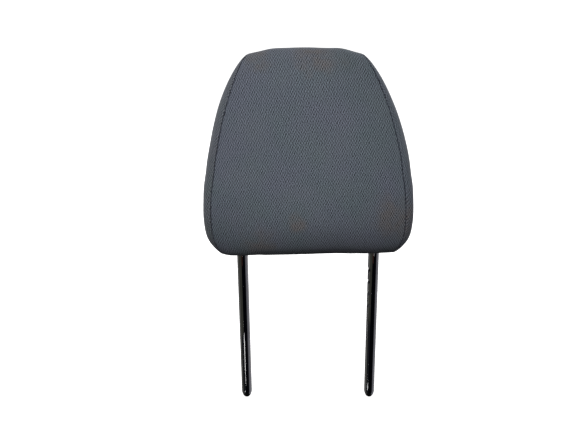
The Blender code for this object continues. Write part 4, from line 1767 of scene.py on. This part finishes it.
@dataclass
class Posts:
    """The bent steel frame, whose two legs are the posts.

    Lengths are in metres.
    """

    radius: float = 0.006
    half_spacing: float = POST_X
    reach: float = 0.184
    crossbar: float = 0.132
    bend: float = 0.028
    tip_length: float = 0.009
    tip_hole: float = 0.0013
    tip_hole_depth: float = 0.0024
    notch_drops: Numbers = (0.0225, 0.0367, 0.0509, 0.0651)
    notch_depth: float = 0.0017
    notch_mouth: float = 0.0046
    notch_floor: float = 0.0022
    nick_drop: float = 0.084
    nick_depth: float = 0.0007
    nick_mouth: float = 0.0022
    nick_floor: float = 0.0009
    floor_shares: Numbers = (0.0, 0.5, 0.8, 1.0)
    flank_shares: Numbers = (0.12, 0.5, 0.88, 1.0, 1.18, 1.5)
    notch_turns: Numbers = (10.0, 10.0, 24.0, 24.0, 10.0)
    notch_grease: Numbers = (1.0, 1.0, 0.45, 0.35, 0.5)
    sides: int = 128
    tip_steps: int = 14
    bend_steps: int = 18
    straight_steps: int = 40
    ring_gap: float = 0.00008
    crease: float = 38.0

    def cuts(self) -> list[tuple[float, float, float, float]]:
        """Return each cut's (height, depth, mouth, floor).

        Returns:
            The notches from the top down, and the stop nick.
        """
        notch = (self.notch_depth, self.notch_mouth, self.notch_floor)
        nick = (-self.nick_drop, self.nick_depth, self.nick_mouth, self.nick_floor)
        return [*((-drop, *notch) for drop in self.notch_drops), nick]

    def tip_stations(self) -> Array:
        """Return the tip's (height, radius) pairs: a recess in its end, and a quarter ellipse.

        Returns:
            The pairs, from the recess's bottom to where the leg is straight.
        """
        turn = np.linspace(0.0, math.pi / 2, self.tip_steps)
        swell = self.tip_hole + (self.radius - self.tip_hole) * np.sin(turn)
        dome = np.stack([self.tip_length * (1 - np.cos(turn)) - self.reach, swell], axis=1)
        lip = np.array([[0.0004, 0.85], [self.tip_hole_depth, 0.8]]) * [1.0, self.tip_hole]
        return np.concatenate([(lip - [self.reach, 0.0])[::-1], dome])

    def straight_heights(self, notched: bool) -> Array:
        """Return the heights of a leg's rings, close together round the cuts.

        Args:
            notched: Whether the leg has the cuts.

        Returns:
            The heights, rising.
        """
        start, end = self.tip_length - self.reach, self.crossbar - self.bend
        heights = [np.linspace(start, end, self.straight_steps)[1:-1]]
        if notched:
            for centre, _, mouth, floor in self.cuts():
                level = np.array(self.floor_shares) * floor / 2
                flank = floor / 2 + (mouth - floor) / 2 * np.array(self.flank_shares)
                offsets = np.concatenate([level, flank])
                heights += [centre + offsets, centre - offsets[1:]]
        joined = np.unique(np.round(np.concatenate(heights), 6))
        return joined[np.concatenate([[True], np.diff(joined) > self.ring_gap])]

    def cut_depth(self, z: Array) -> tuple[Array, Array, Array]:
        """Return how deep the cuts are at heights z, with level floors and sloping flanks.

        Args:
            z: The heights.

        Returns:
            The depths, how much grease lies there, from 0 to 1, and how far in radians each cut is
            turned from the other leg towards the front.
        """
        depth, grease, turn = np.zeros_like(z), np.zeros_like(z), np.zeros_like(z)
        cuts = zip(self.cuts(), self.notch_grease, self.notch_turns)
        for (centre, deepest, mouth, floor), amount, degrees in cuts:
            share = (mouth / 2 - np.abs(z - centre)) / ((mouth - floor) / 2)
            depth = np.maximum(depth, deepest * np.clip(share, 0.0, 1.0))
            grease = np.maximum(grease, amount * np.clip(share * 2.5, 0.0, 1.0))
            turn = np.where(share > 0, math.radians(degrees), turn)
        return depth, grease, turn

    def leg(self, x: float, angle: float, notched: bool) -> Array:
        """Return a leg's stations from its tip up.

        Args:
            x: The leg's X.
            angle: The way that it points, up from level.
            notched: Whether its rings lie close together round the cuts.

        Returns:
            Stations, as (x, z, angle, radius).
        """
        heights = self.straight_heights(notched)
        straight = np.stack([heights, np.full_like(heights, self.radius)], axis=1)
        z, radius = np.concatenate([self.tip_stations(), straight]).T
        return np.stack([np.full_like(z, x), z, np.full_like(z, angle), radius], axis=1)

    def stations(self) -> Array:
        """Return the centre line: up the left leg, over the crossbar and down the right leg.

        A bend's point is (middle x - b cos t, middle z + b sin t), for t from 0 to a quarter turn.

        Returns:
            Stations, as (x, z, angle, radius).
        """
        up = self.leg(-self.half_spacing, math.pi / 2, notched=False)
        down = self.leg(self.half_spacing, -math.pi / 2, notched=True)[::-1]
        turn = np.linspace(0.0, math.pi / 2, self.bend_steps)
        bend_x, bend_z = self.half_spacing - self.bend, self.crossbar - self.bend
        arch = np.stack(
            [
                -bend_x - self.bend * np.cos(turn),
                bend_z + self.bend * np.sin(turn),
                math.pi / 2 - turn,
                np.full_like(turn, self.radius),
            ],
            axis=1,
        )
        back = arch[::-1] * [-1.0, 1.0, -1.0, 1.0]
        return np.concatenate([up, arch, back, down])

    def build(self, effects: Effects) -> bpy.types.Object:
        """Return the frame as one tube round its centre line, with the notches cut.

        A ring's points are centre + r (cos t * side + sin t * rear). On the right leg, a point
        further towards the other leg than radius - cut depth is moved back to that plane, which is
        turned a little towards the front.

        Args:
            effects: The shared shader groups.

        Returns:
            The dressed piece.
        """
        line = self.stations()
        x, z, angle, radius = (line[:, None, column] for column in range(4))
        turn = np.linspace(0.0, 2 * math.pi, self.sides, endpoint=False)[None, :]
        outward, rearward = radius * np.cos(turn), radius * np.sin(turn)
        places = [x - outward * np.sin(angle), rearward, z + outward * np.cos(angle)]
        rings = np.stack(places, axis=-1)
        leg = (x > self.half_spacing - TINY) & (z < 0.0)
        depth, grease, way = self.cut_depth(rings[..., 2])
        reach = (self.half_spacing - rings[..., 0]) * np.cos(way) - rings[..., 1] * np.sin(way)
        over = np.where(leg, np.maximum(reach - self.radius + depth, 0.0), 0.0)
        rings[..., 0] += over * np.cos(way)
        rings[..., 1] += over * np.sin(way)
        first, last = rings[0].mean(axis=0), rings[-1].mean(axis=0)
        item = RingSurface(rings, first_pole=first, last_pole=last).build("posts")
        values = np.zeros(len(item.data.vertices), np.float32)
        values[: over.size] = (grease * (over > TINY)).ravel()
        item.data.attributes.new("grease", "FLOAT", "POINT").data.foreach_set("value", values)
        item.data.set_sharp_from_angle(angle=math.radians(self.crease))
        item.data.materials.append(Chrome().make(effects))
        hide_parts("post_frame")
        return item


@dataclass
class Grommets:
    """The plastic collars where the posts leave the cushion.

    Lengths are in metres.
    """

    flange_radius: float = 0.013
    flange_thickness: float = 0.0018
    sleeve_radius: float = 0.0085
    bore_radius: float = 0.0063
    sleeve_top: float = 0.0208
    chamfer: float = 0.0008
    bevel_width: float = 0.0026
    bevel_height: float = 0.0009
    crease: float = 50.0
    sides: int = 96
    rounding: Numbers = (2e-4, 3e-4, 8e-4, 4e-4, 3e-4, 3e-4, 4e-4, 3e-4)

    def section(self) -> Array:
        """Return the collar's rounded section, as (radius, height).

        Returns:
            The section's points, in order.
        """
        corners = np.array(
            [
                (self.bore_radius, self.chamfer),
                (self.bore_radius + self.chamfer, 0.0),
                (self.flange_radius - self.bevel_width, 0.0),
                (self.flange_radius, self.bevel_height),
                (self.flange_radius, self.flange_thickness),
                (self.sleeve_radius, self.flange_thickness),
                (self.sleeve_radius, self.sleeve_top),
                (self.bore_radius, self.sleeve_top),
            ]
        )
        return rounded_profile(corners, np.array(self.rounding))

    def build(self, effects: Effects) -> list[bpy.types.Object]:
        """Return both collars, dressed.

        Args:
            effects: The shared shader groups.

        Returns:
            The left and the right collar.
        """
        black = (0.012, 0.012, 0.013)
        material = Plastic("grommet_plastic", black, 0.35, 0.55, 2200.0).make(effects)
        pieces = []
        for side in Side:
            rings = turned_rings(self.section(), (side.value * POST_X, 0.0), self.sides)
            item = RingSurface(rings, looped=True).build(f"collar_{side.name.lower()}")
            item.data.set_sharp_from_angle(angle=math.radians(self.crease))
            item.data.materials.append(material)
            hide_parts(f"grommet_{side.name.lower()}")
            pieces.append(item)
        return pieces


@dataclass
class FoamBody:
    """The moulded foam, which has settled with its cover round a core that hasn't moved.

    Lengths are in metres.
    """

    node: bpy.types.Object
    settling: Settling
    room_half_width: float = 0.0872
    room_half_depth: float = 0.0206
    room_top: float = 0.1528
    crease: float = 40.0

    def build(self, effects: Effects) -> bpy.types.Object:
        """Return the foam: its CAD form's points, merged, and moved where they lie off the core.

        Args:
            effects: The shared shader groups.

        Returns:
            The dressed piece.
        """
        source = self.node.data
        points = np.empty(len(source.vertices) * 3)
        source.vertices.foreach_get("co", points)
        corners = np.empty(len(source.loops), np.int64)
        source.loops.foreach_get("vertex_index", corners)
        points, merged = np.unique(np.round(points.reshape(-1, 3), 6), axis=0, return_inverse=True)
        faces = merged.reshape(-1)[corners].reshape(-1, 3)
        distinct = (faces != np.roll(faces, 1, axis=1)).all(axis=1)
        x, y, z = np.abs(points).T
        room = (x < self.room_half_width) & (y < self.room_half_depth) & (z < self.room_top)
        moved = np.where(room[:, None], points, self.settling.apply(points))
        item = add_mesh("foam", moved, faces[distinct].tolist())
        item.data.set_sharp_from_angle(angle=math.radians(self.crease))
        item.data.materials.append(Foam().make(effects))
        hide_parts("foam_body")
        return item


@dataclass
class Inside:
    """The pieces inside the cushion, which keep their CAD shapes."""

    nodes: dict[str, bpy.types.Object]

    def dress(self, effects: Effects) -> None:
        """Give each carried-over node its material.

        Args:
            effects: The shared shader groups.
        """
        core = Plastic("core_plastic", (0.035, 0.035, 0.037), 0.45, 0.65, 1100.0).make(effects)
        strip = Plastic("strip_plastic", (0.04, 0.04, 0.045), 0.38, 0.5, 1500.0, 12.0).make(effects)
        steel = ZincSteel().make(effects)
        finishes = {name: core for name in ("core_front_shell", "core_rear_shell")}
        finishes |= {name: strip for name in ("closure_strip_front", "closure_strip_rear")}
        finishes |= {f"core_screw_{number}": steel for number in range(1, 5)}
        for name, material in finishes.items():
            mesh = self.nodes[name].data
            mesh.materials.clear()
            mesh.materials.append(material)
            LOG.info("dressed %s", name)


@dataclass(frozen=True)
class Card:
    """An upright card of the studio, which only shows in polished metal.

    Attributes:
        start: Its first edge's bearing in degrees, from the camera's side and rising to the right.
        end: Its last edge's bearing.
        colour: Its light, linear.
        low: Its lower edge's height.
        high: Its upper edge's height.
        distance: How far it stands from its centre.
        centre: The X of its centre.
        steps: How many points each edge has.
    """

    start: float
    end: float
    colour: Colour
    low: float = -2.0
    high: float = 2.0
    distance: float = 1.3
    centre: float = 0.0
    steps: int = 24

    def build(self, name: str) -> bpy.types.Object:
        """Return the card: an upright strip of a cylinder.

        A point is (centre + d sin b, -d cos b, z), for bearings b and heights z.

        Args:
            name: The card's name.

        Returns:
            The card.
        """
        bearing = np.radians(np.linspace(self.start, self.end, self.steps))
        x, y = self.centre + self.distance * np.sin(bearing), -self.distance * np.cos(bearing)
        low, high = (np.stack([x, y, np.full_like(x, z)], axis=1) for z in (self.low, self.high))
        item = add_strip(name, low, high)
        material = bpy.data.materials.new(name)
        material.use_nodes = True
        material.cycles.emission_sampling = "NONE"
        material.node_tree.nodes.clear()
        graph = NodeGraph(material.node_tree)
        light = graph.add("Emission")
        graph.feed(light.inputs["Color"], self.colour)
        graph.feed(graph.add("OutputMaterial").inputs["Surface"], light.outputs[0])
        item.data.materials.append(material)
        hide_from(item, Ray.CAMERA, Ray.DIFFUSE, Ray.SHADOW)
        return item


def hide_from(item: bpy.types.Object, *rays: Ray) -> None:
    """Hide a stage piece from kinds of rays."""
    for ray in rays:
        setattr(item, ray.value, False)


@dataclass(frozen=True)
class Lamp:
    """A lamp that faces the cushion, and shows neither to the camera nor in gloss.

    Attributes:
        name: The lamp's name.
        bearing: Its bearing in degrees, from the camera's side and rising to the right.
        rise: Its angle above the level, in degrees.
        power: Its power in watts.
        size: The side of a square lamp, or the radius of one with a beam.
        aim: The height of the point that it faces.
        beam: The beam's angle in degrees, or 0 for a square lamp.
        distance: How far it hangs from its aim.
        stretch: How much wider than high the beam is.
    """

    name: str
    bearing: float
    rise: float
    power: float
    size: float = 0.9
    aim: float = 0.10
    beam: float = 0.0
    distance: float = 1.6
    stretch: float = 1.6

    def build(self) -> None:
        """Hang the lamp, turned so that its -Z points at its aim."""
        data = bpy.data.lights.new(self.name, "SPOT" if self.beam else "AREA")
        data.energy = self.power
        lamp = add_object(self.name, data)
        if self.beam:
            data.shadow_soft_size = self.size
            data.spot_size = math.radians(self.beam)
            data.spot_blend = 1.0
            lamp.scale = (self.stretch, 1.0, 1.0)
        else:
            data.size = self.size
        bearing, rise = math.radians(self.bearing), math.radians(self.rise)
        flat = self.distance * math.cos(rise)
        height = self.aim + self.distance * math.sin(rise)
        lamp.location = (flat * math.sin(bearing), -flat * math.cos(bearing), height)
        lamp.rotation_euler = (math.pi / 2 - rise, 0.0, bearing)
        lamp.visible_glossy = False
        lamp.visible_camera = False


@dataclass
class Studio:
    """A pale floor, soft lights, cards round the posts, and the camera.

    Lengths are in metres, and the focal length is in pixels of a 577 x 433 picture.
    """

    picture_width: float = 577.0
    focal: float = 535.9
    camera_place: tuple[float, float, float] = (0.0, -0.5655, 0.190)
    tilt: float = 75.0
    centre_column: float = 308.0
    floor_height: float = -0.1843
    floor_near: float = -3.0
    floor_half_width: float = 4.0
    floor_bend_start: float = 1.2
    floor_bend: float = 0.8
    floor_top: float = 3.0
    room_below: Colour = (0.004, 0.004, 0.004)
    room_above: Colour = (0.112, 0.112, 0.115)
    white: Colour = (1.0, 1.0, 1.0)
    lamps: tuple[Lamp, ...] = (
        Lamp("key_left", -25.0, 45.0, 39.7, 0.05, 0.06, 11.5),
        Lamp("key_middle", 0.0, 35.0, 28.0, 0.05, 0.035, 12.0),
        Lamp("key_right", 25.0, 45.0, 25.6, 0.05, 0.06, 11.5),
        Lamp("key_low", -34.0, 8.0, 8.5, 0.05, 0.012, 6.0),
        Lamp("high_left", -78.0, 64.0, 9.5),
        Lamp("back_left", -152.0, 20.0, 9.0),
        Lamp("back_right", 138.0, 22.0, 9.0),
    )
    cards: tuple[Card, ...] = (
        Card(-180.0, -112.0, (0.06, 0.06, 0.065)),
        Card(-112.0, -84.0, (0.12, 0.12, 0.11)),
        Card(-84.0, -24.0, (0.038, 0.039, 0.032), -0.74),
        Card(-84.0, -24.0, (0.011, 0.012, 0.014), -2.0, -0.74),
        Card(-24.0, 62.0, DARK),
        Card(62.0, 78.0, (0.125, 0.125, 0.140)),
        Card(78.0, 108.0, (0.17, 0.17, 0.185)),
        Card(108.0, 180.0, (0.25, 0.25, 0.26)),
        Card(-16.0, -11.0, (2.6, 2.6, 2.6), -0.74, -0.61, 1.0, -POST_X),
        Card(-14.8, -12.2, (2.6, 2.6, 2.6), -0.79, -0.74, 1.0, -POST_X),
        Card(-45.5, -40.5, (2.4, 2.4, 2.4), -0.84, -0.79, 1.0, POST_X),
        Card(2.5, 6.5, (1.5, 1.5, 1.5), -0.346, -0.328, 1.0, POST_X),
        Card(-17.0, -2.0, (0.050, 0.020, 0.014), -0.45, -0.38, 1.2, 0.0),
        Card(-30.0, -8.0, DARK, -0.22, -0.08, 0.10, POST_X),
    )

    def add_camera(self) -> None:
        """Add the camera at the photograph's viewing angle."""
        data = bpy.data.cameras.new("camera")
        data.sensor_width = 36.0
        data.sensor_fit = "HORIZONTAL"
        data.lens = self.focal / self.picture_width * data.sensor_width
        data.shift_x = (self.picture_width / 2 - self.centre_column) / self.picture_width
        data.clip_start = 0.01
        data.clip_end = 50.0
        camera = add_object("camera", data)
        camera.location = self.camera_place
        camera.rotation_euler = (math.radians(self.tilt), 0.0, 0.0)
        bpy.context.scene.camera = camera

    def add_floor(self) -> bpy.types.Object:
        """Return the floor, a pale sheet that curves up behind the object.

        Its profile is level to the bend, then a quarter circle, then upright.

        Returns:
            The floor.
        """
        turn = np.linspace(0.0, math.pi / 2, 24)
        start, bend = self.floor_bend_start, self.floor_bend
        y = np.concatenate([[self.floor_near], start + bend * np.sin(turn), [start + bend]])
        z = np.concatenate([[0.0], bend * (1 - np.cos(turn)), [self.floor_top]])
        rows = [
            np.stack([np.full_like(y, x), y, z + self.floor_height], axis=1)
            for x in (self.floor_half_width, -self.floor_half_width)
        ]
        floor = add_strip("floor", *rows)
        material = bpy.data.materials.new("floor")
        material.use_nodes = True
        material.cycles.emission_sampling = "NONE"
        values = {
            "Base Color": (0.9, 0.9, 0.9),
            "Roughness": 0.9,
            "Emission Color": self.white,
            "Emission Strength": 1.0,
        }
        NodeGraph(material.node_tree).fill(material.node_tree.nodes["Principled BSDF"], values)
        floor.data.materials.append(material)
        hide_from(floor, Ray.DIFFUSE, Ray.GLOSSY)
        return floor

    def add_world(self) -> None:
        """Add the room's light: white to the camera, and brighter from above than from below."""
        world = bpy.data.worlds.new("room")
        world.use_nodes = True
        world.node_tree.nodes.clear()
        graph = NodeGraph(world.node_tree)
        parts = graph.add("SeparateXYZ")
        graph.feed(parts.inputs[0], graph.add("TexCoord").outputs["Generated"])
        rise = graph.fit(parts.outputs["Z"], -0.2, 0.2, 0.0, 1.0)
        light = graph.mix(rise, self.room_below, self.room_above)
        seen = graph.add("LightPath").outputs["Is Camera Ray"]
        back = graph.add("Background")
        graph.feed(back.inputs["Color"], graph.mix(seen, light, self.white))
        graph.feed(graph.add("OutputWorld").inputs["Surface"], back.outputs[0])
        bpy.context.scene.world = world

    def build(self) -> None:
        """Build the whole studio."""
        self.add_camera()
        self.add_world()
        for lamp in self.lamps:
            lamp.build()
        self.add_floor()
        for number, card in enumerate(self.cards, start=1):
            card.build(f"card_{number}")
        view = bpy.context.scene.view_settings
        view.view_transform = "Standard"
        view.look = "None"


def report(piece: bpy.types.Object) -> None:
    """Log a piece's name and how many triangles it has as rendered.

    Args:
        piece: The piece.
    """
    evaluated = piece.evaluated_get(bpy.context.evaluated_depsgraph_get())
    mesh = evaluated.to_mesh()
    mesh.calc_loop_triangles()
    LOG.info("%s: %d triangles", piece.name, len(mesh.loop_triangles))
    evaluated.to_mesh_clear()


def main() -> None:
    """Build the headrest's pieces in order, then the studio."""
    logging.basicConfig(level=logging.INFO, format="%(message)s", stream=sys.stdout)
    effects = Effects()
    settling = Settling()
    pieces = Cover(Padding(CushionForm()), settling).build(effects)
    pieces.append(FoamBody(frame["nodes"]["foam_body"], settling).build(effects))
    pieces.append(Posts().build(effects))
    pieces += Grommets().build(effects)
    Inside(frame["nodes"]).dress(effects)
    for piece in pieces:
        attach(piece, BODY)
        report(piece)
    Studio().build()


if __name__ == "__main__":
    main()
